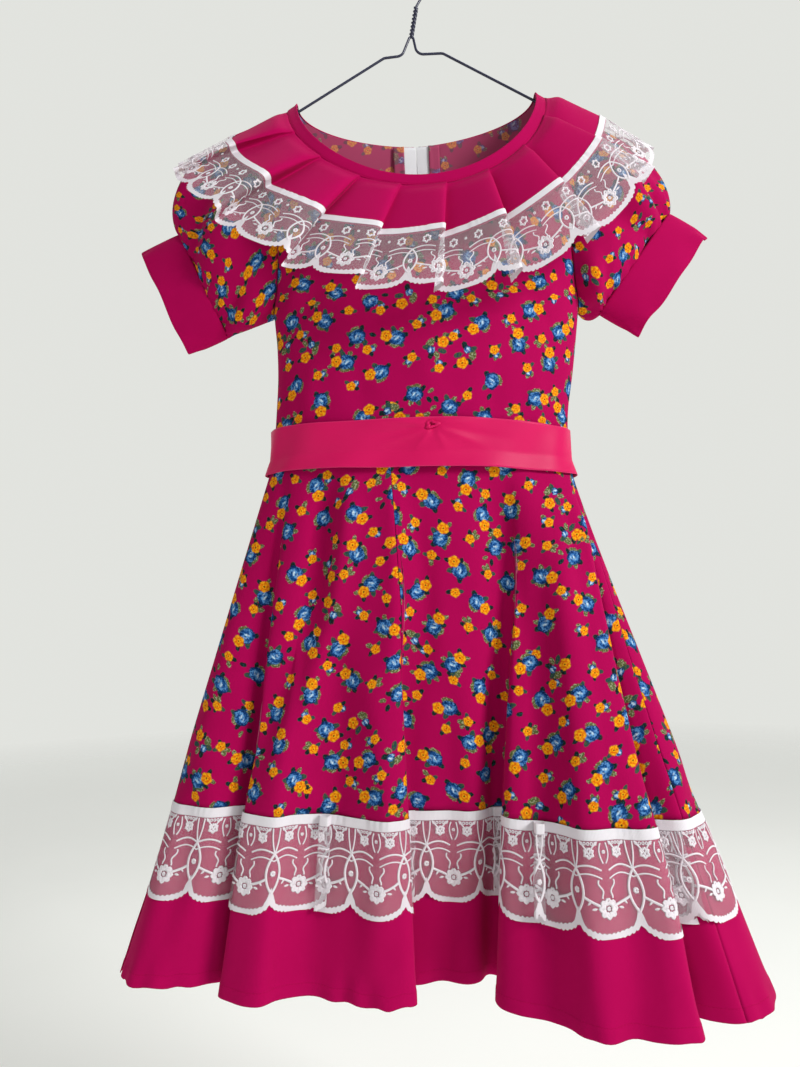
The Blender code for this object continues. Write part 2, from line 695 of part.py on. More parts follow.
def cuff_ring(size, turn, out):
    """The ring where the sleeve meets its cuff, moved out along the arm by a share of the cuff's depth."""
    x = size["cuff_x"] + size["cuff_top_dx"] * np.cos(turn) + size["out_dx"] * out
    z = size["cuff_z"] + size["cuff_top_dz"] * np.cos(turn) + size["out_dz"] * out
    y = -CUFF_HALF_DEPTH * np.sin(turn)
    return np.stack([x, y, z], axis=-1)


def make_sleeve(side, sleeve_name, cuff_name):
    size = sleeve_values(side)
    start = armhole_ring(side)
    count = len(start)
    turn = np.arange(count) * 2 * math.pi / count
    end = cuff_ring(size, turn, SLEEVE_END_SHARE)
    top = (0.5 + 0.5 * np.cos(turn)) ** PUFF_SHARPNESS
    low = (0.5 - 0.5 * np.cos(turn)) ** PUFF_SHARPNESS
    front = np.sin(turn)
    bulge = np.where(front > 0, size["front_bulge"], size["back_bulge"]) * front
    third = (end - start) / 3
    head = third + np.stack([
        side * (size["head_out"] * top + PUFF_HEAD_SIDE * np.abs(front)),
        -bulge,
        size["head_rise"] * top + PUFF_UNDERSIDE * low,
    ], axis=-1)
    mouth = -third + np.stack([
        side * (size["mouth_out"] * top + PUFF_MOUTH_SIDE * np.abs(front)),
        -PUFF_MOUTH_BULGE * bulge,
        size["mouth_rise"] * top + PUFF_UNDERSIDE * low,
    ], axis=-1)
    part = np.linspace(0, 1, SLEEVE_STRIPS + 1)[None, :, None]
    grid = (
        (1 - part) ** 3 * start[:, None]
        + 3 * (1 - part) ** 2 * part * (start + head)[:, None]
        + 3 * (1 - part) * part**2 * (end + mouth)[:, None]
        + part**3 * end[:, None]
    )
    normals = grid_normals(grid, True, own_middle=True)
    folds = np.cos(SLEEVE_FOLDS * turn + 0.9 * side)[:, None, None] * np.sin(math.pi * part)
    grid = grid + normals * folds * SLEEVE_FOLD_DEPTH
    normals = grid_normals(grid, True, own_middle=True)
    add_cloth(sleeve_name, grid, normals, CLOTH_WALL, print_look, round_u=True)
    turn = np.arange(CUFF_STEPS) * 2 * math.pi / CUFF_STEPS
    grid = np.stack([cuff_ring(size, turn, out) for out in (0.0, 0.5, 1.0)], axis=1)
    normals = grid_normals(grid, True, own_middle=True)
    grid = grid + normals * CUFF_CLEAR
    add_cloth(cuff_name, grid, normals, CUFF_WALL, plain_look, round_u=True)


# Skirt
def skirt_knots():
    names = SKIRT_COLUMNS
    hem = np.stack([column(SKIRT_FOLDS, names, name) for name in ("hem_x", "hem_y", "hem_z")], 1)
    angle = column(SKIRT_FOLDS, names, "waist_angle")
    values = np.concatenate([angle[:, None], hem], axis=1)
    last = values[:1] + np.array([[360.0, 0.0, 0.0, 0.0]])
    return np.concatenate([values, last])


def skirt_outline(at):
    """The fold table's values at row numbers: a smooth closed curve, knots spaced by distance."""
    values = skirt_knots()
    before = values[-2:-1] - np.array([[360.0, 0.0, 0.0, 0.0]])
    after = values[1:2] + np.array([[360.0, 0.0, 0.0, 0.0]])
    values = np.concatenate([before, values, after])
    gaps = np.sqrt(np.linalg.norm(np.diff(values[:, 1:], axis=0), axis=1))
    slopes = np.diff(values, axis=0) / gaps[:, None]
    ahead, behind = gaps[1:, None], gaps[:-1, None]
    tangents = (slopes[:-1] * ahead + slopes[1:] * behind) / (ahead + behind)
    index = np.clip(np.floor(at).astype(int), 0, len(tangents) - 2)
    part = (at - index)[:, None]
    gap = gaps[index + 1][:, None]
    return (
        (2 * part**3 - 3 * part**2 + 1) * values[index + 1]
        + (part**3 - 2 * part**2 + part) * gap * tangents[index]
        + (3 * part**2 - 2 * part**3) * values[index + 2]
        + (part**3 - part**2) * gap * tangents[index + 1]
    )


def skirt_surface(at, share):
    """Outside of the skirt at table rows and shares of the way from waist to hem."""
    outline = skirt_outline(at)
    angle = np.radians(outline[:, 0])
    level = np.array(WAIST_LEVEL)
    depth = np.where(np.cos(angle) > 0, body_size(level, "front_depth"), body_size(level, "back_depth"))
    waist = np.stack([
        body_size(level, "centre") + body_size(level, "half_width") * np.sin(angle),
        -depth * np.cos(angle),
        WAIST_LEVEL - 0.5 * SEAM_GAP + 0 * angle,
    ], axis=1)
    share = np.asarray(share)[None, :, None]
    return waist[:, None] * (1 - share) + outline[:, None, 1:] * share


def cut_gore(grid, normals, first, last, share):
    """Columns first..last of the whole skirt, with each side drawn back from its seam."""
    index = np.arange(first, last + 1) % len(grid)
    piece = grid[index].copy()
    start = unit(piece[1] - piece[0])
    end = unit(piece[-1] - piece[-2])
    open_zip = 0.5 * ZIP_GAP * np.clip((ZIP_SHARE + 0.008 - share) / 0.01, 0, 1)[:, None]
    back = SKIRT_BACK_SEAM_ROW * SKIRT_STEPS
    first_gap = np.maximum(0.5 * SEAM_GAP, open_zip) if first % len(grid) == back else 0.5 * SEAM_GAP
    last_gap = np.maximum(0.5 * SEAM_GAP, open_zip) if last % len(grid) == back else 0.5 * SEAM_GAP
    piece[0] += start * first_gap
    piece[-1] -= end * last_gap
    return piece, normals[index]


SKIRT_DROP = -WAIST_LEVEL + SKIRT_FOLDS[SKIRT_BACK_SEAM_ROW][3]
ZIP_SHARE = (WAIST_LEVEL - ZIP_END) / abs(SKIRT_DROP)


def make_skirt():
    count = len(SKIRT_FOLDS) * SKIRT_STEPS
    at = np.arange(count) / SKIRT_STEPS
    drop = abs(SKIRT_DROP)
    band_top = 1 - BAND_HEIGHT / drop
    lace_end = band_top + SKIRT_LACE_HEIGHT / drop
    half_seam = 0.5 * SEAM_GAP / drop
    print_share = np.array(PRINT_ROWS) * (band_top - half_seam)
    middle = 0.5 * (band_top + lace_end)
    band_share = np.array([band_top + half_seam, middle, lace_end, 1.0])
    seams = [row * SKIRT_STEPS for row in (
        SKIRT_LEFT_SIDE_ROW, SKIRT_FRONT_SEAM_ROW, SKIRT_RIGHT_SIDE_ROW, SKIRT_BACK_SEAM_ROW)]
    seams.append(count)
    names = ("front_left", "front_right", "back_right", "back_left")
    for share, start, look in ((print_share, "skirt_", print_look), (band_share, "hem_band_", plain_look)):
        grid = skirt_surface(at, share)
        normals = grid_normals(grid, True)
        for name, first, last in zip(names, seams[:-1], seams[1:]):
            piece, piece_normals = cut_gore(grid, normals, first, last, share)
            add_cloth(start + name, piece, piece_normals, CLOTH_WALL, look)
    grid = skirt_surface(at, band_share[:3])
    normals = grid_normals(grid, True)
    grid = grid + normals * (LAYER_GAP + LACE_WALL)
    add_cloth("skirt_lace", grid, normals, LACE_WALL, lace_look, round_u=True)


# Ribbon
def make_ribbon():
    level = np.array(WAIST_LEVEL)
    half = body_size(level, "half_width") + RIBBON_CLEAR
    end = math.pi - (0.5 * ZIP_GAP + RIBBON_END_CLEAR) / half
    turn = np.linspace(-end, end, RIBBON_STEPS + 1)[:, None]
    height = np.array([RIBBON_TOP, WAIST_LEVEL, RIBBON_BOTTOM])[None, :]
    flare = RIBBON_FLARE * np.maximum(WAIST_LEVEL - height, 0)
    depth = np.where(np.cos(turn) > 0, body_size(level, "front_depth"), body_size(level, "back_depth"))
    lean = RIBBON_LEAN * np.clip((height - WAIST_LEVEL) / (RIBBON_TOP - WAIST_LEVEL), 0, 1)
    x = body_size(level, "centre") + (half + flare) * np.sin(turn)
    y = -(depth + RIBBON_CLEAR + RIBBON_DEPTH_FLARE * flare + lean) * np.cos(turn)
    grid = np.stack([x, y, height + 0 * x], axis=-1)
    add_cloth("waist_ribbon", grid, grid_normals(grid, False), RIBBON_WALL, ribbon_look)


# Zip
def back_centre(height):
    """Outside of the centre back at a height, on the bodice and on down the skirt."""
    above = body_point(0 * height, np.maximum(height, WAIST_LEVEL), 1)
    share = np.clip((WAIST_LEVEL - height) / abs(SKIRT_DROP), 0, 1)
    seam = skirt_surface(np.array([float(SKIRT_BACK_SEAM_ROW)]), share)[0]
    return np.where((height > WAIST_LEVEL)[:, None], above, seam)


def make_zip():
    height = np.concatenate([
        np.linspace(ZIP_TOP, WAIST_LEVEL, 12),
        np.linspace(WAIST_LEVEL, ZIP_END, 5)[1:],
    ])
    centre = back_centre(height)
    for side, name in ((-1, "zip_tape_left"), (1, "zip_tape_right")):
        across = np.array([TAPE_FROM_CENTRE, TAPE_WIDTH])
        grid = np.zeros((2, len(height), 3))
        grid[..., 0] = centre[None, :, 0] + side * across[:, None]
        grid[..., 1] = centre[None, :, 1] - CLOTH_WALL - LAYER_GAP - TAPE_INSIDE
        grid[1, :, 1] -= TAPE_LEAN
        grid[..., 2] = height
        add_cloth(name, grid, grid_normals(grid, False), TAPE_WALL, tape_look)
    level = np.array([SLIDER_LEVEL])
    x, y, _ = back_centre(level)[0]
    z = SLIDER_LEVEL
    base = y + 0.5 * SEAM_GAP + SLIDER_CLEAR
    add_slider(x, base, z)
    add_pull(x, base + SLIDER_THICKNESS + 0.5 * BRIDGE_EYE, z)


def box_triangles():
    quads = [(0, 1, 3, 2), (4, 6, 7, 5), (0, 4, 5, 1), (2, 3, 7, 6), (0, 2, 6, 4), (1, 5, 7, 3)]
    return np.array([(q[0], q[a], q[a + 1]) for q in quads for a in (1, 2)])


def add_slider(x, base, z):
    """A plate with a bridge over it: one side profile of steps, given a width for each block."""
    top = base + SLIDER_THICKNESS
    crown = top + BRIDGE_EYE + BRIDGE_BAR
    half = BRIDGE_HALF_HEIGHT
    wide = 0.5 * SLIDER_WIDTH
    slim = 0.5 * BRIDGE_WIDTH
    cuts = [
        ("zip_slider", -wide, wide, base, top, -0.5 * SLIDER_HEIGHT, 0.5 * SLIDER_HEIGHT),
        ("slider_foot", -slim, slim, top - 0.5, crown, -half, -half + BRIDGE_BAR),
        ("slider_head", -slim, slim, top - 0.5, crown, half - BRIDGE_BAR, half),
        ("slider_crown", -slim, slim, crown - BRIDGE_BAR, crown, -half + 0.3, half - 0.3),
    ]
    made = []
    for name, x0, x1, y0, y1, z0, z1 in cuts:
        corners = np.array([(x + a, b, z + c) for a in (x0, x1) for b in (y0, y1) for c in (z0, z1)])
        made.append(add_mesh(name, leaned(corners), box_triangles(), slider_look))
    for other in made[1:]:
        join = made[0].modifiers.new("join_" + other.name, "BOOLEAN")
        join.operation = "UNION"
        join.solver = "EXACT"
        join.object = other
        other.hide_render = True
        other.display_type = "WIRE"


def add_pull(x, axis_y, z):
    """A flat tab that narrows to a slotted top. Its pin lies in the bridge's eye, on the joint's axis."""
    pin = 0.5 * PULL_PIN
    slot = 0.5 * PULL_SLOT_WIDTH
    slot_end = -pin - PULL_SLOT_LENGTH
    turn = np.linspace(0, math.pi, 9)
    tip = 0.5 * PULL_WIDTH
    round_z = -PULL_LENGTH + tip
    right = [(0.5 * PULL_TOP_WIDTH, pin), (0.5 * PULL_TOP_WIDTH, slot_end - 1.2)]
    lower = [(tip * math.cos(a), round_z - tip * math.sin(a)) for a in turn]
    left = [(-px, pz) for px, pz in right[::-1]]
    outline = right + lower + left
    count = len(outline)
    hole = [(slot, -pin), (slot, slot_end), (-slot, slot_end), (-slot, -pin)]
    flat = np.array(outline + hole)
    low = 0.5 * PULL_THICKNESS
    total = len(flat)
    points = np.zeros((2 * total, 3))
    points[:, 0] = np.tile(flat[:, 0], 2) + x
    points[:, 2] = np.tile(flat[:, 1], 2) + z
    points[:total, 1] = axis_y - low
    points[total:, 1] = axis_y + low
    a, b, c, d = count, count + 1, count + 2, count + 3
    last = count - 1
    face = [(0, 1, b), (0, b, a), (0, a, d), (0, d, last), (last, d, c), (last, c, last - 1)]
    face += [(last - 1, c, b), (last - 1, b, 1)]
    face += [(1, k, k + 1) for k in range(2, last - 1)]
    triangles = [(p, r, q) for p, q, r in face] + [(p + total, q + total, r + total) for p, q, r in face]
    rims = [(k, (k + 1) % count) for k in range(count)]
    rims += [(b, a), (c, b), (d, c), (a, d)]
    for p, q in rims:
        triangles += [(p, q, q + total), (p, q + total, p + total)]
    lift = float(from_table(np.array(z), LEAN, LEAN_COLUMNS, "rise")) * x
    points[:, 2] += lift
    add_mesh("zip_pull", points, np.array(triangles), slider_look, origin=(x, axis_y, z + lift))


# Hanger
def make_hanger():
    top = np.array(TWIST_TOP)
    bottom = np.array(TWIST_BOTTOM)
    part = np.linspace(0, 1, TWIST_STEPS + 1)[:, None]
    path = top * (1 - part) + bottom * part
    ahead = unit(bottom - top)
    across = np.array([-ahead[1], ahead[0]])
    turn = np.arange(TWIST_SIDES) * 2 * math.pi / TWIST_SIDES
    lobe = TWIST_OFFSET * np.abs(np.cos(turn))
    reach = lobe + np.sqrt(WIRE_RADIUS**2 - (TWIST_OFFSET * np.sin(turn)) ** 2)
    spin = turn[None, :] + 2 * math.pi * TWIST_TURNS * part
    ring = np.zeros((TWIST_STEPS + 1, TWIST_SIDES, 3))
    ring[..., 0] = path[:, :1] + across[0] * reach * np.cos(spin)
    ring[..., 2] = path[:, 1:] + across[1] * reach * np.cos(spin)
    ring[..., 1] = reach * np.sin(spin)
    ends = np.array([[top[0], 0, top[1]], [bottom[0], 0, bottom[1]]])
    hanger = add_tube("hanger", ends, ring, wire_look)

    radius = HOOK_INNER_RADIUS + WIRE_RADIUS
    turn = np.radians(np.linspace(HOOK_FROM_ANGLE, HOOK_TO_ANGLE, HOOK_STEPS + 1))
    arc = np.stack([radius * np.cos(turn), radius * np.sin(turn) - HOOK_INNER_RADIUS], axis=1)
    stem = top + np.array([[-0.7, -4.0], [0.2, 1.0], [5.5, HOOK_STEM_LEVEL - top[1]]])
    path = np.concatenate([stem, arc])
    rings = flat_tube_rings(path, WIRE_RADIUS, WIRE_SIDES)
    ends = np.array([[path[0, 0], 0, path[0, 1]], [path[-1, 0], 0, path[-1, 1]]])
    hook = add_tube("hanger_hook", ends, rings, wire_look)

    def arm_level(x):
        return shoulder_line(np.array(x)) - ARM_BELOW_SHOULDER

    right_bend = (ARM_RIGHT_BEND_X, float(arm_level(ARM_RIGHT_BEND_X)))
    left_bend = (ARM_LEFT_BEND_X, float(arm_level(ARM_LEFT_BEND_X)))
    right_end = (ARM_END_X, float(arm_level(ARM_END_X)))
    left_end = (-ARM_END_X, float(arm_level(ARM_END_X)))
    low_right = (ARM_END_X + ARM_SPREAD_TO_BAR, BAR_LEVEL)
    low_left = (-ARM_END_X - ARM_SPREAD_TO_BAR, BAR_LEVEL)
    bends = [
        (ARM_TOP, ARM_TOP_RADIUS),
        (ARM_RIGHT_KNEE, ARM_KNEE_RADIUS),
        (right_bend, ARM_BEND_RADIUS),
        (right_end, ARM_END_RADIUS),
        (low_right, BAR_END_RADIUS),
        (low_left, BAR_END_RADIUS),
        (left_end, ARM_END_RADIUS),
        (left_bend, ARM_BEND_RADIUS),
        (ARM_LEFT_KNEE, ARM_KNEE_RADIUS),
    ]
    path = []
    for index, (corner, bend_radius) in enumerate(bends):
        before = bends[index - 1][0]
        after = bends[(index + 1) % len(bends)][0]
        path.append(rounded_corner(before, corner, after, bend_radius, CORNER_STEPS))
    path = np.concatenate(path)
    rings = flat_tube_rings(path, WIRE_RADIUS, WIRE_SIDES, closed=True)
    loop = add_tube("hanger_arms", None, rings, wire_look, closed=True)
    for other in (hook, loop):
        join = hanger.modifiers.new("join_" + other.name, "BOOLEAN")
        join.operation = "UNION"
        join.solver = "EXACT"
        join.object = other
        other.hide_render = True
        other.display_type = "WIRE"


make_bodice()
make_binding()
make_collar()
make_sleeve(-1, "sleeve_left", "cuff_left")
make_sleeve(1, "sleeve_right", "cuff_right")
make_skirt()
make_ribbon()
make_zip()
make_hanger()
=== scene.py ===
import math

import bpy
import numpy as np
from mathutils import Matrix


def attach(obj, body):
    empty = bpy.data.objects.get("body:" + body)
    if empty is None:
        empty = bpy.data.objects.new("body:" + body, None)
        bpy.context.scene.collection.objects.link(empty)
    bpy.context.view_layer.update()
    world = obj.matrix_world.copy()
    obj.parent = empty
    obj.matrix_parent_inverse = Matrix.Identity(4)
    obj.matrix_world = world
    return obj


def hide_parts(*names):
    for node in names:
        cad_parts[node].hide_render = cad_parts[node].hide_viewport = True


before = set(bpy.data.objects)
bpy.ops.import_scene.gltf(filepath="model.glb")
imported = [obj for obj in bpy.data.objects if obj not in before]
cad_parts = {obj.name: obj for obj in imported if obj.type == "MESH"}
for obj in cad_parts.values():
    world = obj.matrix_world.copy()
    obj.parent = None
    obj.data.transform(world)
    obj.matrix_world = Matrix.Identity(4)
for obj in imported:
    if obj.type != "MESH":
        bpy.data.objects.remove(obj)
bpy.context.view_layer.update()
mm = 0.001
bpy.context.scene.view_settings.view_transform = "Standard"
print("frame loaded")


# Numbers and curves. Shapes below are in millimetres and become metres when a mesh is made.

# eased: cubic through the knots, h00 a + h10 m0 + h01 b + h11 m1, level past both ends
def eased(at, knots, values):
    knots = np.asarray(knots, float)
    values = np.asarray(values, float)
    at = np.clip(at, knots[0], knots[-1])
    steps = np.diff(knots)
    slopes = np.diff(values) / steps
    tangents = np.zeros(len(knots))
    tangents[1:-1] = (slopes[:-1] * steps[1:] + slopes[1:] * steps[:-1]) / (steps[:-1] + steps[1:])
    tangents[0] = slopes[0]
    tangents[-1] = slopes[-1]
    index = np.clip(np.searchsorted(knots, at, side="right") - 1, 0, len(knots) - 2)
    step = steps[index]
    part = (at - knots[index]) / step
    a = (2 * part**3 - 3 * part**2 + 1) * values[index]
    b = (part**3 - 2 * part**2 + part) * step * tangents[index]
    c = (3 * part**2 - 2 * part**3) * values[index + 1]
    return a + b + c + (part**3 - part**2) * step * tangents[index + 1]


# unit: v / |v|
def unit(vectors):
    return vectors / np.maximum(np.linalg.norm(vectors, axis=-1, keepdims=True), 1e-9)


# smooth: 3 t^2 - 2 t^3 between low and high, 0 before and 1 after
def smooth(value, low, high):
    part = np.clip((value - low) / (high - low), 0, 1)
    return part * part * (3 - 2 * part)


# gridNormals: (tangent along) x (tangent down), turned away from the dress's axis or its own middle
def gridNormals(grid, closed=False, ownMiddle=False):
    if closed:
        along = unit(np.roll(grid, -1, axis=0) - grid) + unit(grid - np.roll(grid, 1, axis=0))
    else:
        step = unit(np.diff(grid, axis=0))
        along = np.concatenate([step[:1], step[1:] + step[:-1], step[-1:]])
    normals = unit(np.cross(along, np.gradient(grid, axis=1)))
    away = grid - (grid.reshape(-1, 3).mean(axis=0) if ownMiddle else 0)
    if not ownMiddle:
        away[..., 2] = 0
    return normals if (normals * away).sum() > 0 else -normals


# flatMap: metres of cloth; u = length along a row from its middle or a straight column, v = length down
def flatMap(grid, closed=False, shift=(0.0, 0.0), fromColumn=None):
    whole = np.concatenate([grid, grid[:1]]) if closed else grid
    along = np.linalg.norm(np.diff(whole, axis=0), axis=-1)
    u = np.concatenate([np.zeros((1, whole.shape[1])), np.cumsum(along, axis=0)])
    u = u - u[len(u) // 2 if fromColumn is None else fromColumn]
    down = np.linalg.norm(np.diff(whole, axis=1), axis=-1)
    v = np.concatenate([np.zeros((len(whole), 1)), np.cumsum(down, axis=1)], axis=1)
    return np.stack([u * mm + shift[0], v * mm + shift[1]], axis=-1)


# How a crease bows, as a share of its length, and the shares of its length where it fades in and out
creaseShape = {"bow": 0.06, "fadeIn": (-0.15, 0.3), "fadeOut": (0.6, 1.12)}


# creased: sum of depth * exp(-(distance to the line / width)^2) * taper, lines in x and z from the front
def creased(x, z, rows):
    total = np.zeros_like(x)
    for x0, z0, x1, z1, width, depth in rows:
        alongX, alongZ = x1 - x0, z1 - z0
        size = math.hypot(alongX, alongZ)
        part = ((x - x0) * alongX + (z - z0) * alongZ) / size**2
        bow = creaseShape["bow"] * size * np.sin(math.pi * np.clip(part, 0, 1))
        off = ((x - x0) * alongZ - (z - z0) * alongX) / size + bow
        taper = smooth(part, *creaseShape["fadeIn"]) * (1 - smooth(part, *creaseShape["fadeOut"]))
        total += depth * np.exp(-((off / width) ** 2)) * taper
    return total


# The dress's own lean: it hangs a little lower at the right below the waist and higher at the neck
leanOf = {
    "height": (-1100, -950, -500, -360, -223, -147, -100, -60, 0),
    "rise": (-0.025, -0.025, -0.022, 0.0, 0.020, 0.027, 0.012, 0.0, 0.0),
}


# leaned: z + rise(z) * x
def leaned(points):
    moved = points.copy()
    moved[..., 2] += eased(points[..., 2], leanOf["height"], leanOf["rise"]) * points[..., 0]
    return moved


# makeMesh: vertices and quads straight into a mesh, with a flat map and point values if given
def makeMesh(name, points, faces, looks, flat=None, values=None, lookOf=None):
    points = np.asarray(points, float).reshape(-1, 3)
    faces = np.asarray(faces)
    sides = faces.shape[1]
    mesh = bpy.data.meshes.new(name)
    mesh.vertices.add(len(points))
    mesh.vertices.foreach_set("co", (points * mm).astype(np.float32).ravel())
    mesh.loops.add(faces.size)
    mesh.loops.foreach_set("vertex_index", faces.astype(np.int32).ravel())
    mesh.polygons.add(len(faces))
    mesh.polygons.foreach_set("loop_start", np.arange(len(faces), dtype=np.int32) * sides)
    mesh.polygons.foreach_set("use_smooth", np.ones(len(faces), bool))
    if lookOf is not None:
        mesh.polygons.foreach_set("material_index", np.asarray(lookOf, np.int32))
    mesh.update(calc_edges=True)
    if flat is not None:
        layer = mesh.uv_layers.new(name="flat")
        layer.data.foreach_set("uv", np.asarray(flat, np.float32).ravel())
    for key, value in (values or {}).items():
        held = mesh.attributes.new(key, "FLOAT", "POINT")
        held.data.foreach_set("value", np.asarray(value, np.float32).ravel())
    for look in looks:
        mesh.materials.append(look)
    made = bpy.data.objects.new(name, mesh)
    bpy.context.scene.collection.objects.link(made)
    return made


# makeSheet: a grid [along, down] as one layer of quads facing out, with a wall of a thickness inward
def makeSheet(name, grid, looks, wall, flat, closed=False, ownMiddle=False, values=None):
    along, down = grid.shape[:2]
    number = np.arange(along * down).reshape(along, down)
    place = np.arange((along + closed) * down).reshape(along + closed, down)
    if closed:
        number = np.concatenate([number, number[:1]])
    raw = np.cross(grid[1:, :-1] - grid[:-1, :-1], grid[:-1, 1:] - grid[:-1, :-1])
    outward = (raw * gridNormals(grid, closed, ownMiddle)[:-1, :-1]).sum() > 0

    def quads(index):
        corners = [index[:-1, :-1], index[1:, :-1], index[1:, 1:], index[:-1, 1:]]
        faces = np.stack(corners, axis=-1).reshape(-1, 4)
        return faces if outward else faces[:, ::-1]

    onFaces = flat.reshape(-1, 2)[quads(place).ravel()]
    made = makeMesh(name, leaned(grid), quads(number), looks, onFaces, values)
    if wall:
        shell = made.modifiers.new("wall", "SOLIDIFY")
        shell.thickness = wall * mm
        shell.offset = -1
        shell.use_rim = True
        shell.material_offset = len(looks) - 1
        shell.material_offset_rim = 0
    return made


# settle: rides with the dress and hides the nodes it stands for; the grid it is given is not used
def settle(piece, nodes=(), grid=None):
    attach(piece, "dress")
    if nodes:
        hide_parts(*nodes)
    if grid is None:
        return piece
    return piece


# operator: a method that makes one maths node of the wire and what it meets; turned puts the wire last
def operator(kind, turned=False):
    return lambda self, *others: self.math(kind, *((*others, self) if turned else (self, *others)))


# Shader maths: a wire is a socket that Python's operators work on
class Wire:
    def __init__(self, look, socket):
        self.look = look
        self.socket = socket

    def math(self, operation, *inputs):
        return self.look.add("ShaderNodeMath", {"operation": operation}, *inputs)

    def clamped(self):
        return self.look.add("ShaderNodeClamp", {}, self)

    __add__ = operator("ADD")
    __sub__ = operator("SUBTRACT")
    __rsub__ = operator("SUBTRACT", turned=True)
    __mul__ = operator("MULTIPLY")
    __truediv__ = operator("DIVIDE")
    __lt__ = operator("LESS_THAN")
    __gt__ = operator("GREATER_THAN")
    __abs__ = operator("ABSOLUTE")
    sin = operator("SINE")
    cos = operator("COSINE")
    root = operator("SQRT")
    low = operator("MINIMUM")
    high = operator("MAXIMUM")


# Look: a material and its node tree, with a method for each kind of node that is used often
class Look:
    def __init__(self, name, **fixed):
        self.material = bpy.data.materials.new(name)
        self.material.use_nodes = True
        self.tree = self.material.node_tree
        self.shader = self.tree.nodes["Principled BSDF"]
        for key, value in fixed.items():
            self.shader.inputs[key.replace("_", " ")].default_value = value

    # add: one node of a type, its settings, then its inputs in order; gives the named or first output
    def add(self, kind, settings, *inputs, output=0):
        node = self.tree.nodes.new(kind)
        for key, value in settings.items():
            if key == "slots":
                for slot, what in value.items():
                    self.put(node.inputs[slot], what)
            else:
                setattr(node, key, value)
        for slot, what in zip([s for s in node.inputs if s.enabled], inputs):
            self.put(slot, what)
        outputs = node.outputs if isinstance(output, str) else [s for s in node.outputs if s.enabled]
        return Wire(self, outputs[output])

    def put(self, slot, what):
        if isinstance(what, Wire):
            self.tree.links.new(what.socket, slot)
        elif what is not None:
            colour = isinstance(what, tuple) and len(slot.default_value) == 4
            slot.default_value = (*what, 1) if colour else what

    def feed(self, name, wire):
        self.put(self.shader.inputs[name], wire)

    def mix(self, factor, first, second):
        return self.add("ShaderNodeMix", {"data_type": "RGBA"}, factor, first, second)

    def vector(self, operation, *inputs, output=0):
        return self.add("ShaderNodeVectorMath", {"operation": operation}, *inputs, output=output)

    def parts(self, vector):
        node = self.tree.nodes.new("ShaderNodeSeparateXYZ")
        self.put(node.inputs[0], vector)
        return [Wire(self, socket) for socket in node.outputs]

    def flat(self):
        return self.add("ShaderNodeUVMap", {"uv_map": "flat"})

    def place(self):
        return self.add("ShaderNodeTexCoord", {}, output="Object")

    def value(self, name):
        return self.add("ShaderNodeAttribute", {"attribute_name": name}, output="Fac")

    def noise(self, at, scale, detail=2.0, rough=0.5):
        slots = {"Vector": at, "Scale": scale, "Detail": detail, "Roughness": rough}
        return self.add("ShaderNodeTexNoise", {"slots": slots}, output="Fac")

    def bump(self, height, strength, distance):
        slots = {"Strength": strength, "Distance": distance, "Height": height}
        self.feed("Normal", self.add("ShaderNodeBump", {"slots": slots}))


# weave: two crossed thread waves, the higher of sin^2 of each axis, at a thread count per metre
def weave(u, v, threads):
    across = (u * (threads * math.pi)).sin()
    along = (v * (threads * math.pi)).sin()
    return (across * across).high(along * along)


# Lengths in metres, noise in waves per metre
plainTint = {
    "base": (0.385, 0.0010, 0.070), "lit": (0.44, 0.0018, 0.088), "stitch": (0.33, 0.002, 0.05),
    "threads": 1900.0, "cloud": 14.0, "fuzz": 900.0, "stitchWide": 0.0007, "stitchStep": 0.0028,
    "stitchShade": 0.55, "stitchDepth": 3.0, "bump": (0.35, 0.00018),
}
clothShine = {
    "Roughness": 0.85, "Specular_IOR_Level": 0.035, "Sheen_Weight": 0.015, "Sheen_Roughness": 0.5,
}


# clothHeight: half weave, half fuzz
def clothHeight(look, flat):
    u, v, _ = look.parts(flat)
    return weave(u, v, plainTint["threads"]) * 0.5 + look.noise(flat, plainTint["fuzz"], 2.0) * 0.5


# plainLook: solid magenta cloth; dashes of thread run along a stitched line if one is asked for
def plainLook(name, stitchAt=None):
    look = Look(name, **clothShine)
    flat = look.flat()
    u, v, _ = look.parts(flat)
    colour = look.mix(look.noise(flat, plainTint["cloud"], 3.0), plainTint["base"], plainTint["lit"])
    height = clothHeight(look, flat)
    if stitchAt is not None:
        line = 1 - (abs(v - stitchAt) / plainTint["stitchWide"]).low(1.0)
        onCloth = (u * (2 * math.pi / plainTint["stitchStep"])).sin() > -0.5
        colour = look.mix(line * onCloth * plainTint["stitchShade"], colour, plainTint["stitch"])
        height = height + line * (onCloth * plainTint["stitchDepth"] - (plainTint["stitchDepth"] + 1))
    look.feed("Base Color", colour)
    look.bump(height, *plainTint["bump"])
    return look.material


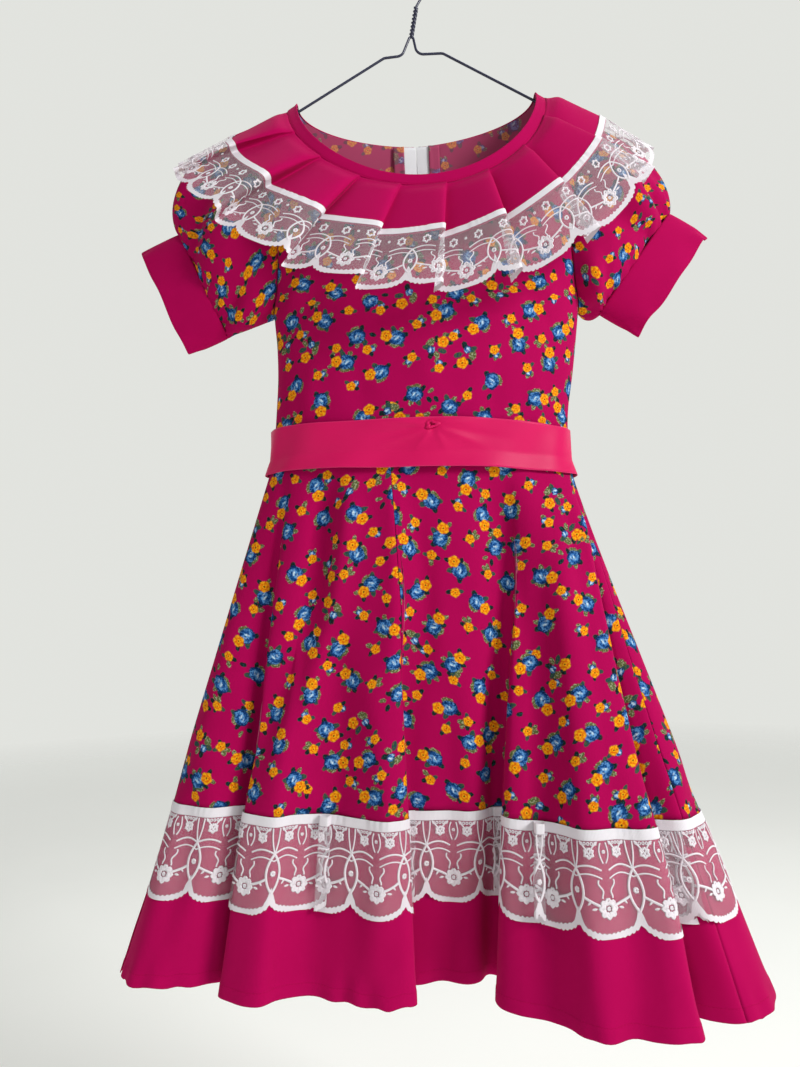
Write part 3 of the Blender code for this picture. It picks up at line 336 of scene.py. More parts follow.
printTint = {
    "cell": 34.0,               # millimetres between bouquets; small ones stand half a cell away
    "lean": 0.35, "scatter": 0.42, "dapple": 620.0, "cloud": 12.0, "bump": (0.3, 0.00016),
    "ground": (0.355, 0.0010, 0.068),
    "groundLit": (0.41, 0.0018, 0.082),
    "navy": (0.004, 0.018, 0.080),
    "blue": (0.016, 0.105, 0.34),
    "sky": (0.11, 0.29, 0.56),
    "ice": (0.60, 0.78, 0.86),
    "yellow": (0.84, 0.40, 0.010),
    "orange": (0.66, 0.13, 0.003),
    "heart": (0.13, 0.030, 0.006),
    "dark": (0.007, 0.015, 0.014),
    "teal": (0.014, 0.060, 0.062),
    "olive": (0.085, 0.105, 0.030),
    "pale": (0.34, 0.37, 0.22),
    "next": {"dark": "teal", "teal": "olive", "olive": "pale"},
    "wrongSide": (0.40, 0.13, 0.20), "wrongShare": 0.45,
    # flowers of a bouquet: x, y and radius in millimetres
    "smallRose": (-3.2, -1.0, 3.1), "smallYellow": (0.8, 0.6, 4.1),
    "rose": (-2.8, 0.2, 6.9), "bud": (-6.0, 0.2, 3.4), "yellowBeside": (6.4, 0.8, 5.0),
}
# Leaves of a bouquet in millimetres: x, y, turn in degrees, half length, half width, shade, least chance
bigLeaves = (
    (-3.4, 6.0, 20, 5.2, 3.2, "olive", 0.0),
    (-8.6, -3.6, 215, 4.0, 2.5, "dark", 0.0),
    (-8.0, 4.4, 140, 3.8, 2.3, "teal", 0.25),
    (1.4, -5.6, -50, 4.2, 2.4, "teal", 0.0),
    (-4.4, -6.4, 250, 3.6, 2.2, "olive", 0.35),
    (3.2, 5.8, 60, 3.6, 2.1, "dark", 0.2),
    (10.6, -3.0, -40, 3.2, 2.0, "dark", 0.0),
    (10.6, 4.8, 40, 3.0, 1.8, "olive", 0.45),
)
smallLeaves = (
    (-3.6, 3.0, 140, 3.2, 2.0, "dark", 0.0),
    (-3.8, -3.4, 215, 3.4, 2.1, "olive", 0.2),
    (4.0, -3.2, -40, 2.8, 1.7, "teal", 0.0),
    (-6.0, -0.4, 180, 2.8, 1.8, "olive", 0.5),
    (3.4, 3.8, 50, 2.6, 1.5, "dark", 0.45),
)


# tossed: Voronoi cells give each bouquet its middle and three chances; x and y come out in millimetres
def tossed(look, flat, cell, shift):
    moved = look.add("ShaderNodeMapping", {"slots": {
        "Vector": flat, "Location": shift, "Rotation": (0.0, 0.0, printTint["lean"]),
        "Scale": (1 / (cell * mm),) * 3}})
    cells = look.tree.nodes.new("ShaderNodeTexVoronoi")
    cells.voronoi_dimensions = "2D"
    cells.inputs["Scale"].default_value = 1.0
    cells.inputs["Randomness"].default_value = printTint["scatter"]
    look.put(cells.inputs["Vector"], moved)
    chances = look.parts(Wire(look, cells.outputs["Color"]))
    local = look.vector("SUBTRACT", moved, Wire(look, cells.outputs["Position"]))
    turned = look.add("ShaderNodeVectorRotate", {"rotation_type": "Z_AXIS", "slots": {
        "Vector": local, "Angle": chances[0] * (2 * math.pi)}})
    x, y, _ = look.parts(turned)
    ripple = look.noise(flat, 520.0, 2.0) - 0.5
    return x * cell + ripple * 1.6, y * cell - ripple * 1.3, chances


# leafOn: inside where (y / width)^2 + (x / length)^2 < 1.15 in the leaf's own turned axes, mottled
def leafOn(look, colour, x, y, row, wanted, dapple):
    px, py, turn, length, width, shade, _ = row
    c, s = math.cos(math.radians(turn)), math.sin(math.radians(turn))
    ax = x * c + y * s - (px * c + py * s)
    ay = y * c - x * s - (py * c - px * s)
    inside = 1.15 - ay * ay * (1 / width**2) - ax * ax * (1 / length**2)
    mask = ((inside + (dapple - 0.5) * 1.4) * 2.4).clamped() * wanted
    vein = (1.0 - abs(ay) * 2.2).high(0.0) * 0.4
    mottle = ((dapple - 0.50) * 7.0 + vein).clamped()
    return look.mix(mask, colour, look.mix(mottle, printTint[shade], printTint[printTint["next"][shade]]))


# yellowOn: a round flower of five soft lobes, mottled orange, dark in places at its rim and at its heart
def yellowOn(look, colour, x, y, flower, wanted, dapple):
    middleX, middleY, radius = printTint[flower]
    dx, dy = x - middleX, y - middleY
    far = (dx * dx + dy * dy).root() / radius
    lobes = (look.add("ShaderNodeMath", {"operation": "ARCTAN2"}, dy, dx) * 5.0 + far * 2.5).cos()
    edge = 1.0 - far * (1.0 - lobes * 0.05) + (dapple - 0.5) * 0.22
    mask = (edge * radius * 1.2 + 0.5).clamped() * wanted
    ring = (1.0 - abs(far - 0.48) * 4.0).high(0.0)
    worn = ((0.35 - lobes * 0.5) * far * 0.9 + ring * 0.7 + (dapple - 0.47) * 3.4).clamped()
    body = look.mix(worn, printTint["yellow"], printTint["orange"])
    rim = (0.85 - edge * radius * 0.8).clamped() * ((dapple - 0.44) * 9.0).clamped()
    body = look.mix((((0.20 - far) * 9.0).high(rim * 0.8)).clamped(), body, printTint["heart"])
    return look.mix(mask, colour, body)


# roseOn: an oval flower, pale in its middle, blue petals in a swirl, navy between them and at its rim
def roseOn(look, colour, x, y, flower, wanted, dapple):
    middleX, middleY, radius = printTint[flower]
    dx, dy = (x - middleX) * 0.90, (y - middleY) * 1.08
    far = (dx * dx + dy * dy).root() / radius
    angle = look.add("ShaderNodeMath", {"operation": "ARCTAN2"}, dy, dx)
    edge = 1.0 - far * (1.0 - (angle * 5.0).cos() * 0.04) + (dapple - 0.5) * 0.20
    mask = (edge * radius * 1.2 + 0.5).clamped() * wanted
    swirl = (angle * 2.0 + far * 8.0).sin() * 0.5 + 0.5
    rim = ((far - 0.55) * 2.6).clamped()
    shade = (swirl * 0.45 + rim * 0.7 + (dapple - 0.52) * 3.4).clamped()
    body = look.mix(shade, printTint["blue"], printTint["navy"])
    light = (((1.0 - swirl) * 0.9 - far * 0.8 + (0.5 - dapple) * 3.6 + 0.1) * 1.3).clamped()
    body = look.mix(light, body, printTint["sky"])
    ax = dx * 0.5 + dy * 0.87
    ay = dy * 0.5 - dx * 0.87
    streak = (1.0 - abs(ay - 0.7) * 0.8 - ax * ax * 0.10).high(0.0)
    second = (1.0 - abs(ay + 2.2) * 1.1 - (ax - 0.8) * (ax - 0.8) * 0.16).high(0.0)
    glint = ((streak * 1.6 + second * 0.9) * (1.35 - dapple * 1.6)).clamped()
    return look.mix(mask, colour, look.mix(glint, body, printTint["ice"]))


# printLook: small flowers in one set of cells, and roses with a yellow flower in the cells between them
def printLook(name, wrongSide=False):
    look = Look(name, **clothShine)
    flat = look.flat()
    dapple = look.noise(flat, printTint["dapple"], 2.0, 0.65)
    cloud = look.noise(flat, printTint["cloud"], 3.0)
    colour = look.mix(cloud, printTint["ground"], printTint["groundLit"])
    x, y, (_, kind, chance) = tossed(look, flat, printTint["cell"], (0.5, 0.5, 0.0))
    for row in smallLeaves:
        colour = leafOn(look, colour, x, y, row, chance > row[6], dapple)
    colour = roseOn(look, colour, x, y, "smallRose", kind > 0.5, dapple)
    colour = yellowOn(look, colour, x, y, "smallYellow", 1.0, dapple)
    x, y, (_, kind, chance) = tossed(look, flat, printTint["cell"], (0.0, 0.0, 0.0))
    for row in bigLeaves:
        colour = leafOn(look, colour, x, y, row, chance > row[6], dapple)
    colour = roseOn(look, colour, x, y, "rose", kind < 0.8, dapple)
    colour = roseOn(look, colour, x, y, "bud", kind > 0.8, dapple)
    colour = yellowOn(look, colour, x, y, "yellowBeside", kind > 0.2, dapple)
    if wrongSide:
        colour = look.mix(printTint["wrongShare"], colour, printTint["wrongSide"])
    look.feed("Base Color", colour)
    look.bump(clothHeight(look, flat), *printTint["bump"])
    return look.material


# Millimetres, apart from the cell of the net in metres; alpha of the net's threads and of its solid parts
laceTint = {
    "thread": (0.74, 0.68, 0.73), "satin": (0.83, 0.79, 0.83), "sheen": (0.86, 0.83, 0.87),
    "cell": 0.0011, "border": 5.2, "peak": 9.0, "headSolid": 8.3, "headSatin": 7.6,
    "netWide": 0.16, "netAlpha": 0.52, "solidAlpha": 0.96, "bump": (0.5, 0.00025),
}


# laceLook: solid at the heading, the scalloped border and the peak over each notch, else a fine net
def laceLook(name, haze):
    look = Look(name, Roughness=0.7, Specular_IOR_Level=0.2)
    flat = look.flat()
    u, v, _ = look.parts(flat)
    edge = look.value("edge")        # millimetres inside the scalloped edge
    head = look.value("head")        # millimetres below the heading's top
    fromPeak = look.value("peak")    # millimetres to the side of the nearest notch
    one = ((u + v * 0.7) * (math.pi / laceTint["cell"])).sin()
    two = ((u - v * 0.7) * (math.pi / laceTint["cell"])).sin()
    net = ((laceTint["netWide"] - abs(one).low(abs(two))) * 7.0).clamped()
    rise = (laceTint["peak"] - fromPeak * 1.9).high(0.0) + laceTint["border"]
    solid = ((rise - edge) * 2.0).clamped().high(((laceTint["headSolid"] - head) * 3.0).clamped())
    look.feed("Alpha", (net * laceTint["netAlpha"] + haze).high(solid * laceTint["solidAlpha"]))
    satinShare = ((laceTint["headSatin"] - head) * 2.0).clamped() * 0.6
    cloud = look.noise(flat, 240.0, 3.0)
    colour = look.mix(cloud * 0.6, laceTint["satin"], laceTint["thread"])
    look.feed("Base Color", look.mix(satinShare, colour, laceTint["sheen"]))
    rib = (u * (math.pi / laceTint["cell"])).sin()
    look.bump(net + rib * rib * solid * 0.8 + cloud, *laceTint["bump"])
    return look.material


cordTint = {"shade": (0.72, 0.66, 0.71), "lit": (0.83, 0.78, 0.82), "cloud": 60.0, "grain": 1800.0}


# cordLook: the lace's thick outline thread, its tint from a slow noise and its twist from a fast one
def cordLook(name):
    look = Look(name, Roughness=0.6, Sheen_Weight=0.2)
    at = look.place()
    cloud = look.noise(at, cordTint["cloud"], 2.0)
    look.feed("Base Color", look.mix(cloud, cordTint["shade"], cordTint["lit"]))
    look.bump(look.noise(at, cordTint["grain"], 2.0), 0.5, 0.0002)
    return look.material


satinTint = {
    "base": (0.56, 0.004, 0.085), "lit": (0.64, 0.008, 0.110), "selvedge": (0.75, 0.06, 0.20),
    "width": 0.042, "selvedgeWide": 0.0012, "streaks": (60.0, 3000.0, 1.0), "bump": (0.35, 0.00012),
}


# satinLook: noise stretched along the ribbon gives its roughness the streaks of the weft
def satinLook(name):
    look = Look(name, Specular_IOR_Level=0.12, Sheen_Weight=0.02, Sheen_Roughness=0.3)
    flat = look.flat()
    _, v, _ = look.parts(flat)
    slots = {"Vector": flat, "Scale": satinTint["streaks"]}
    streak = look.noise(look.add("ShaderNodeMapping", {"slots": slots}), 1.0, 3.0)
    fromEdge = v.low(satinTint["width"] - v)
    selvedge = 1 - (fromEdge / satinTint["selvedgeWide"]).clamped()
    colour = look.mix(look.noise(flat, 18.0, 2.0), satinTint["base"], satinTint["lit"])
    look.feed("Base Color", look.mix(selvedge * 0.35, colour, satinTint["selvedge"]))
    look.feed("Roughness", streak * 0.14 + 0.36)
    look.bump(streak + selvedge * 0.7, *satinTint["bump"])
    return look.material


tapeTint = {
    "light": (0.88, 0.88, 0.90), "dark": (0.70, 0.70, 0.73), "band": 0.003, "rib": 0.0006,
    "bump": (0.4, 0.0002),
}


# tapeLook: herringbone, ribs slanted to and fro in bands
def tapeLook(name):
    look = Look(name, Roughness=0.75)
    u, v, _ = look.parts(look.flat())
    bands = u / tapeTint["band"]
    slant = abs((bands - bands.math("FLOOR", bands)) - 0.5) * 2.0
    rib = ((v / tapeTint["rib"] + slant * 1.4) * (2 * math.pi)).sin()
    look.feed("Base Color", look.mix((rib * 0.5 + 0.5) * 0.35, tapeTint["light"], tapeTint["dark"]))
    look.bump(rib, *tapeTint["bump"])
    return look.material


# wornLook: one noise mixes two tints, adds to the least roughness and raises the surface
def wornLook(name, scale, tints, rough, bump, **fixed):
    look = Look(name, **fixed)
    worn = look.noise(look.place(), scale, 4.0)
    look.feed("Base Color", look.mix(worn, *tints))
    look.feed("Roughness", worn * rough[1] + rough[0])
    look.bump(worn, *bump)
    return look.material


metalTint = {
    "tints": ((0.83, 0.83, 0.85), (0.74, 0.74, 0.76)), "rough": (0.22, 0.2), "bump": (0.1, 0.0001),
}
wireTint = {
    "tints": ((0.010, 0.012, 0.040), (0.022, 0.024, 0.060)), "rough": (0.28, 0.25),
    "bump": (0.15, 0.0002),
}

clothPlain = plainLook("plainCloth")
clothHem = plainLook("hemCloth", stitchAt=0.0105)
clothEdge = plainLook("edgeCloth", stitchAt=0.0015)
clothPrint = printLook("printedCloth")
clothInside = printLook("printedClothWrongSide", wrongSide=True)
laceNet = laceLook("laceNet", 0.11)
collarNet = laceLook("collarNet", 0.16)
laceCord = cordLook("laceCord")
satin = satinLook("satinRibbon")
tape = tapeLook("zipTape")
whiteMetal = wornLook("zipMetal", 900.0, **metalTint, Metallic=0.1)
wireCoat = wornLook("coatedWire", 350.0, **wireTint, Coat_Weight=0.3, Coat_Roughness=0.25)
print("materials made")


# Bodice, sections from the waist up
bodyCut = {
    "height": (-520, -500, -460, -415, -362, -300, -240, -184, -120),
    "halfWidth": (134.5, 134.5, 133.5, 136, 141, 148, 160, 176, 176),
    "frontDepth": (45, 45, 47, 49, 50, 50, 50, 50, 50),
    "backDepth": (37, 37, 38, 39, 40, 40, 38, 37, 37),
    "centre": (-5, -5, -3.5, 1, 3, 2, 0.5, -1, -1),
    "fullness": (1.0, 1.0, 1.0, 0.97, 0.92, 0.80, 0.62, 0.45, 0.45),
}
armholeCut = {
    "height": (-362, -358, -348, -326, -290, -245, -212, -182.1),
    "angle": (90, 84, 75.5, 68.5, 63.5, 64, 68, 74),
}
neckCut = {
    "level": -147.5, "halfWidth": 113.0, "frontDrop": 106.0, "backDrop": 24.0, "slope": 0.62,
    "tipX": 168.8, "tipLevel": -182.1, "rounding": 130.0, "fall": 0.62,
}
bodiceCut = {
    "waist": -500.0, "underarm": -362.0, "wall": 0.8, "seamGap": 0.3, "zipGap": 5.0,
    "sideRows": 34, "armholeRows": 44, "shoulderColumns": 12, "neckColumns": 60, "waistGap": 0.2,
    # columns bunch along the neck by a power; shares of the waist under the shoulder and the neck
    "neckBunch": 1.3, "shoulderShare": 0.14, "neckShare": 0.86,
    # beside the zip: depth and width of the turned edge, and where the creases fade in
    "edgeFold": 0.9, "edgeWide": 2.2, "creaseFade": (3, 25),
    # creases in the front view: x0, z0, x1, z1, width, depth
    "frontCreases": (
        (-128, -372, -70, -300, 9, 2.2), (-130, -392, -84, -350, 8, -1.6), (126, -368, 82, -306, 9, 2.0),
        (128, -398, 88, -352, 7, -1.4), (-104, -468, -96, -415, 9, 1.5), (-52, -470, -60, -405, 12, -1.6),
        (8, -468, 4, -392, 14, 1.8), (58, -470, 66, -410, 11, -1.5), (104, -470, 96, -425, 8, 1.6),
        (-92, -330, -60, -430, 18, 1.4), (70, -330, 52, -440, 20, 1.6), (-20, -300, -12, -380, 22, -1.4),
    ),
    "backCreases": (
        (-126, -374, -74, -318, 9, 2.0), (126, -372, 78, -312, 9, 2.2), (-84, -470, -78, -400, 12, 1.8),
        (-40, -470, -34, -398, 10, -1.6), (44, -470, 36, -404, 10, 1.6), (90, -470, 84, -410, 12, -1.6),
        (-60, -300, -52, -400, 20, 1.4), (56, -296, 62, -396, 20, -1.4),
    ),
}


# bodySize: one measure of the body at a height, on the cubic through its table
def bodySize(height, name):
    return eased(height, bodyCut["height"], bodyCut[name])


# shoulderLine: neck level - slope * (|x| - half the neck's width)
def shoulderLine(x):
    return neckCut["level"] - neckCut["slope"] * (np.abs(x) - neckCut["halfWidth"])


# bodyPoint: x = halfWidth sin(angle), y = depth cos(angle)^fullness, pulled in to the shoulder line
def bodyPoint(angle, height, facing):
    x = bodySize(height, "halfWidth") * np.sin(angle)
    drop = np.clip((shoulderLine(x) - height) / neckCut["rounding"], 0.0, 1.0)
    across = np.maximum(np.cos(angle), 0.0) ** bodySize(height, "fullness")
    depth = bodySize(height, "frontDepth" if facing < 0 else "backDepth") * across
    depth = depth * np.sin(0.5 * math.pi * drop) ** neckCut["fall"]
    return np.stack([x + bodySize(height, "centre"), facing * depth, height + 0 * x], axis=-1)


# sideAngle: a quarter turn below the underarm, the armhole's own angle above it
def sideAngle(height):
    angle = np.radians(eased(height, armholeCut["height"], armholeCut["angle"]))
    return np.where(height < bodiceCut["underarm"], 0.5 * math.pi, angle)


# armholeLevels: evenly spaced on a half circle, so that they bunch at the underarm and the shoulder
def armholeLevels(count):
    middle = 0.5 * (neckCut["tipLevel"] + bodiceCut["underarm"])
    half = 0.5 * (neckCut["tipLevel"] - bodiceCut["underarm"])
    return middle - half * np.cos(np.linspace(0, math.pi, count + 1))


# panelGrid: rows rise from the waist to the top edge, level = side level + part^3 * (top - shoulder tip)
def panelGrid(facing, neckDrop, side):
    cut = bodiceCut
    levels = np.concatenate([
        np.linspace(cut["waist"] + cut["waistGap"], cut["underarm"], cut["sideRows"])[:-1],
        armholeLevels(cut["armholeRows"]),
    ])
    shoulderX = np.linspace(neckCut["tipX"], neckCut["halfWidth"], cut["shoulderColumns"] + 1)[:-1]
    turn = 0.5 * math.pi * (1 - np.linspace(0, 1, cut["neckColumns"] + 1) ** cut["neckBunch"])
    x = np.concatenate([shoulderX, neckCut["halfWidth"] * np.sin(turn)])
    z = np.concatenate([shoulderLine(shoulderX), neckCut["level"] - neckDrop * np.cos(turn)])
    tip = math.asin(neckCut["tipX"] / bodySize(np.array(neckCut["tipLevel"]), "halfWidth"))
    top = np.arcsin(x / bodySize(z, "halfWidth")) / tip
    waist = np.concatenate([
        1.0 - cut["shoulderShare"] * np.arange(cut["shoulderColumns"]) / cut["shoulderColumns"],
        cut["neckShare"] * (1 - np.linspace(0, 1, cut["neckColumns"] + 1)),
    ])
    if facing < 0:
        top = np.concatenate([-top, top[-2::-1]])
        waist = np.concatenate([-waist, waist[-2::-1]])
        z = np.concatenate([z, z[-2::-1]])
    else:
        top, waist = side * top, side * waist
    part = (levels - levels[0]) / (levels[-1] - levels[0])
    height = levels[None] + part[None] ** 3 * (z[:, None] - levels[-1])
    share = waist[:, None] + part[None] ** 3 * (top - waist)[:, None]
    return bodyPoint(share * sideAngle(levels)[None], height, facing)


# makeBodice: panels with their creases pushed along the normal, the back ones opened for the zip
def makeBodice():
    cut = bodiceCut
    looks = [clothPrint, clothInside]
    grid = panelGrid(-1, neckCut["frontDrop"], 1)
    grid[..., 1] -= 0.5 * cut["seamGap"]
    grid = grid + gridNormals(grid) * creased(grid[..., 0], grid[..., 2], cut["frontCreases"])[..., None]
    front = makeSheet("bodiceFront", grid, looks, cut["wall"], flatMap(grid, shift=(0.4, 0.1)))
    settle(front, ["bodice_front"], grid)
    half = 0.5 * cut["zipGap"]
    for side, node, name in (
        (-1, "bodice_back_left", "bodiceBackLeft"), (1, "bodice_back_right", "bodiceBackRight"),
    ):
        grid = panelGrid(1, neckCut["backDrop"], side)
        centre = bodySize(grid[..., 2], "centre")
        across = np.abs(grid[..., 0] - centre)
        grid[..., 0] = centre + side * (half + across * (1 - half / bodySize(grid[..., 2], "halfWidth")))
        grid[..., 1] += 0.5 * cut["seamGap"]
        depth = creased(grid[..., 0], grid[..., 2], cut["backCreases"])
        depth = depth * smooth(across, *cut["creaseFade"])
        fold = cut["edgeFold"] * np.exp(-((across / cut["edgeWide"]) ** 2))
        grid = grid + gridNormals(grid) * (depth - fold)[..., None]
        flat = flatMap(grid, shift=(0.9 + side, 0.3), fromColumn=-1)
        back = makeSheet(name, grid, looks, cut["wall"], flat)
        settle(back, [node], grid)


makeBodice()
print("bodice made")


# Neck band and pleated flounce
collarCut = {
    "bandHeight": 9.0, "bandWall": 1.6, "flounceLength": 62.0, "laceFrom": 55.0, "laceTo": 112.0,
    "laceDroop": 0.14, "underlap": 6.0, "heightAtNeck": 4.2, "endGap": 9.0, "wall": 0.7,
    "columnsPerRow": 7, "rows": 26, "roll": 4.0, "sag": 1.6, "tuckUnder": 0.3,
    # the band: share of its width that lies over the edge, puff, distances out of the cloth, rise, lift
    "overShare": 0.2, "puff": 0.15, "tuckIn": 0.2, "out": 0.9, "outMore": 0.8, "rise": 1.2,
    "atShoulder": 0.6,
    # the two open ends at the zip: degrees to the side and how far out of the cloth
    "firstWay": (-3, 0.22), "lastWay": (5, 0.26),
}
# A column for each thing known of a pleat's folded edge, in degrees, going round from the left back
pleatCut = {
    "neckAngle": (-160, -140, -122, -106, -91, -68, -47, -27, -9, 10, 29, 50, 72, 93, 110, 128, 146, 164),
    "swing": (-14, -32, -50, -63, -70, -66, -51, -33, -18, -4, 11, 30, 53, 65, 61, 45, 28, 12),
    "lift": (-20, -20, -17, -9, 0, 12, 22, 22, 23, 22, 21, 20, 15, -2, -11, -18, -20, -20),
    "stand": (7, 7, 5, 4.4, 4.8, 5, 9, 9.5, 9.5, 9.5, 9.5, 8.5, 6, 8, 4.6, 5, 7, 7),
}


# neckPoint: on the bodice, at a turn round the neck and a distance below its edge
def neckPoint(turn, below):
    front = np.cos(turn) > 0
    drop = np.where(front, neckCut["frontDrop"], neckCut["backDrop"])
    level = np.abs(np.cos(turn))
    x = (neckCut["halfWidth"] + below) * np.sin(turn)
    z = neckCut["level"] - (drop + below) * level - neckCut["slope"] * below * (1 - level)
    angle = np.arcsin(np.clip(x / bodySize(z, "halfWidth"), -1, 1))
    return np.where(front[..., None], bodyPoint(angle, z, -1), bodyPoint(angle, z, 1))


# neckFrame: tangent round the neck and the cloth's normal, from nearby points
def neckFrame(turn, below):
    along = neckPoint(turn + 0.02, below) - neckPoint(turn - 0.02, below)
    down = neckPoint(turn, below + 1.5) - neckPoint(turn, below)
    return unit(along), unit(np.cross(down, along))


# makeBinding: a band folded over the neck's edge: out at the front, over the top, a little down inside
def makeBinding():
    cut = collarCut
    end = math.pi - 4.0 / neckCut["halfWidth"]
    half = end * np.linspace(0, 1, 181)
    turn = np.concatenate([-half[:0:-1], half])[:, None]
    part = np.linspace(0, 1, 15)[None]
    below = cut["bandHeight"] * np.clip((part - cut["overShare"]) / 0.8, 0, 1) + 0 * turn
    _, normal = neckFrame(turn + 0 * below, below)
    over = np.clip(part / cut["overShare"], 0, 1)
    puff = cut["puff"] * np.sin(math.pi * np.clip((part - 0.15) / 0.85, 0, 1)) ** 0.6
    puff = puff - cut["tuckIn"] * smooth(part, 0.85, 1.0)
    atShoulder = cut["atShoulder"] * np.exp(-(((np.abs(turn) - 0.5 * math.pi) / 0.12) ** 2))
    out = cut["out"] + cut["outMore"] * np.sin(0.5 * math.pi * over) + puff + atShoulder * over
    grid = neckPoint(turn + 0 * below, below) + normal * out[..., None]
    grid[..., 2] += cut["rise"] * np.sin(math.pi * np.clip(part / 0.4, 0, 1))
    flat = flatMap(grid)
    flat[..., 1] = (cut["bandHeight"] - below) * mm
    piece = makeSheet("neckBinding", grid, [clothEdge], cut["bandWall"] * 0.4, flat)
    settle(piece, ["neck_binding"], grid)


# pleatControls: six control rows a pleat, neck angle, height off the cloth and a direction
def pleatControls():
    turn = np.radians(pleatCut["neckAngle"])
    swing = np.radians(pleatCut["swing"])
    lift = np.radians(pleatCut["lift"])
    fold = np.stack([np.cos(lift) * np.sin(swing), -np.sin(lift), -np.cos(lift) * np.cos(swing)], 1)
    tangent, normal = neckFrame(turn, collarCut["bandHeight"] + 0 * turn)
    low = np.tan(np.radians(pleatCut["stand"]))[:, None]
    up = unit(normal - (normal * fold).sum(1, keepdims=True) * fold)
    tuck = unit(fold - math.tan(math.radians(collarCut["underlap"])) * tangent - low * up)
    end = math.pi - collarCut["endGap"] / (neckCut["halfWidth"] + collarCut["bandHeight"])
    firstWay, lastWay = (
        unit(np.array([math.sin(math.radians(aside)), out, -1.0]))
        for aside, out in (collarCut["firstWay"], collarCut["lastWay"]))
    starts = [(-end, firstWay)] + list(zip(turn, tuck))
    ends = list(zip(turn, fold)) + [(end, lastWay)]
    high = collarCut["heightAtNeck"]
    rows = []
    for (turnA, wayA), (turnB, wayB) in zip(starts, ends):
        for part, rise in ((0.0, 0.0), (0.14, 0.03), (0.5, 0.40), (0.86, 0.90), (1.0, 1.06)):
            way = unit(wayA * (1 - rise) + wayB * rise) + unit(wayA * (1 - part) + wayB * part)
            rows.append([turnA + (turnB - turnA) * part, high * rise, *unit(way)])
        rows.append([turnB, 0.5 * high, *wayB])
    for index in range(6, len(rows), 6):
        rows[index - 1][2:] = list(unit(np.array(rows[index - 2][2:]) + np.array(rows[index][2:])))
    return np.array(rows[:-1])


# spline: uniform cubic B-spline, ((1-t)^3 a + (3t^3-6t^2+4) b + (-3t^3+3t^2+3t+1) c + t^3 d) / 6
def spline(rows, at):
    index = np.clip(np.floor(at).astype(int), 0, len(rows) - 2)
    part = (at - index)[:, None]
    padded = np.concatenate([2 * rows[:1] - rows[1:2], rows, 2 * rows[-1:] - rows[-2:-1]])
    a, b, c, d = (padded[index + shift] for shift in range(4))
    whole = (1 - part) ** 3 * a + (3 * part**3 - 6 * part**2 + 4) * b
    return (whole + (-3 * part**3 + 3 * part**2 + 3 * part + 1) * c + part**3 * d) / 6


# collarSurface: base round the neck + direction * length, drooping past the flounce, each pleat rolled
def collarSurface(at, lengths):
    cut = collarCut
    path = spline(pleatControls(), at)
    turn = path[:, 0]
    below = cut["bandHeight"] - cut["tuckUnder"] + 0 * turn
    _, normal = neckFrame(turn, below)
    lengths = np.asarray(lengths, float)[None, :, None]
    far = lengths[..., 0]
    settled = 0.45 + 0.55 * smooth(lengths, 0.0, 16.0)
    clear = 0.7 + (1.0 + path[:, None, 1:2]) * settled
    base = neckPoint(turn, below)[:, None] + normal[:, None] * clear
    grid = base + path[:, None, 2:] * lengths
    grid[..., 2] -= np.maximum(far - cut["flounceLength"], 0) * cut["laceDroop"]
    sag = cut["sag"] * np.sin(math.pi * np.clip(far / cut["laceTo"], 0, 1))
    across = np.mod(at, 6.0)[:, None] / 4.0
    roll = np.where(across < 1, np.sin(math.pi * np.clip(across, 0, 1) ** 1.25), 0)
    roll = roll * smooth(far, 0.0, 12.0) * (1.0 - 0.55 * smooth(far, 40.0, cut["laceTo"])) * cut["roll"]
    return grid + normal[:, None] * (sag * np.sin(at * 1.31)[:, None] + roll)[..., None]


pleatRows = 6 * (len(pleatCut["neckAngle"]) + 1) - 1


# makeFlounce: the collar's surface from the band down to the flounce's edge, evenly spaced both ways
def makeFlounce():
    cut = collarCut
    at = np.linspace(0, pleatRows - 1, (pleatRows - 1) * cut["columnsPerRow"] + 1)
    lengths = np.linspace(0, cut["flounceLength"], cut["rows"])
    grid = collarSurface(at, lengths)
    flat = flatMap(grid)
    piece = makeSheet("collarFlounce", grid, [clothPlain], cut["wall"], flat)
    settle(piece, ["collar_flounce"], grid)


makeBinding()
makeFlounce()
print("collar made")


# Lace. A repeat is drawn in millimetres from its scallop's middle, y down from the heading, b high.
laceCut = {
    "repeat": 47.0, "heading": 8.2, "notchShare": 0.15, "picot": 1.5, "picotStep": 3.4,
    "cordWidth": 1.7, "cordHeight": 0.6, "sides": 5, "collarCord": 0.86, "skirtCord": 1.14,
    "rows": 22, "columnStep": 1.05, "crimp": 0.2,
}


# scallopEdge: b - notch * (1 - sqrt(1 - 0.93 (2x/repeat)^2)) / (1 - sqrt(0.07)), with picots |sin|
def scallopEdge(u, height):
    cut = laceCut
    x = np.mod(u, cut["repeat"]) - 0.5 * cut["repeat"]
    notch = cut["notchShare"] * height
    bowl = (1 - np.sqrt(1 - 0.93 * (2 * x / cut["repeat"]) ** 2)) / (1 - math.sqrt(0.07))
    return height - notch * bowl, cut["picot"] * np.abs(np.sin(math.pi * u / cut["picotStep"]))


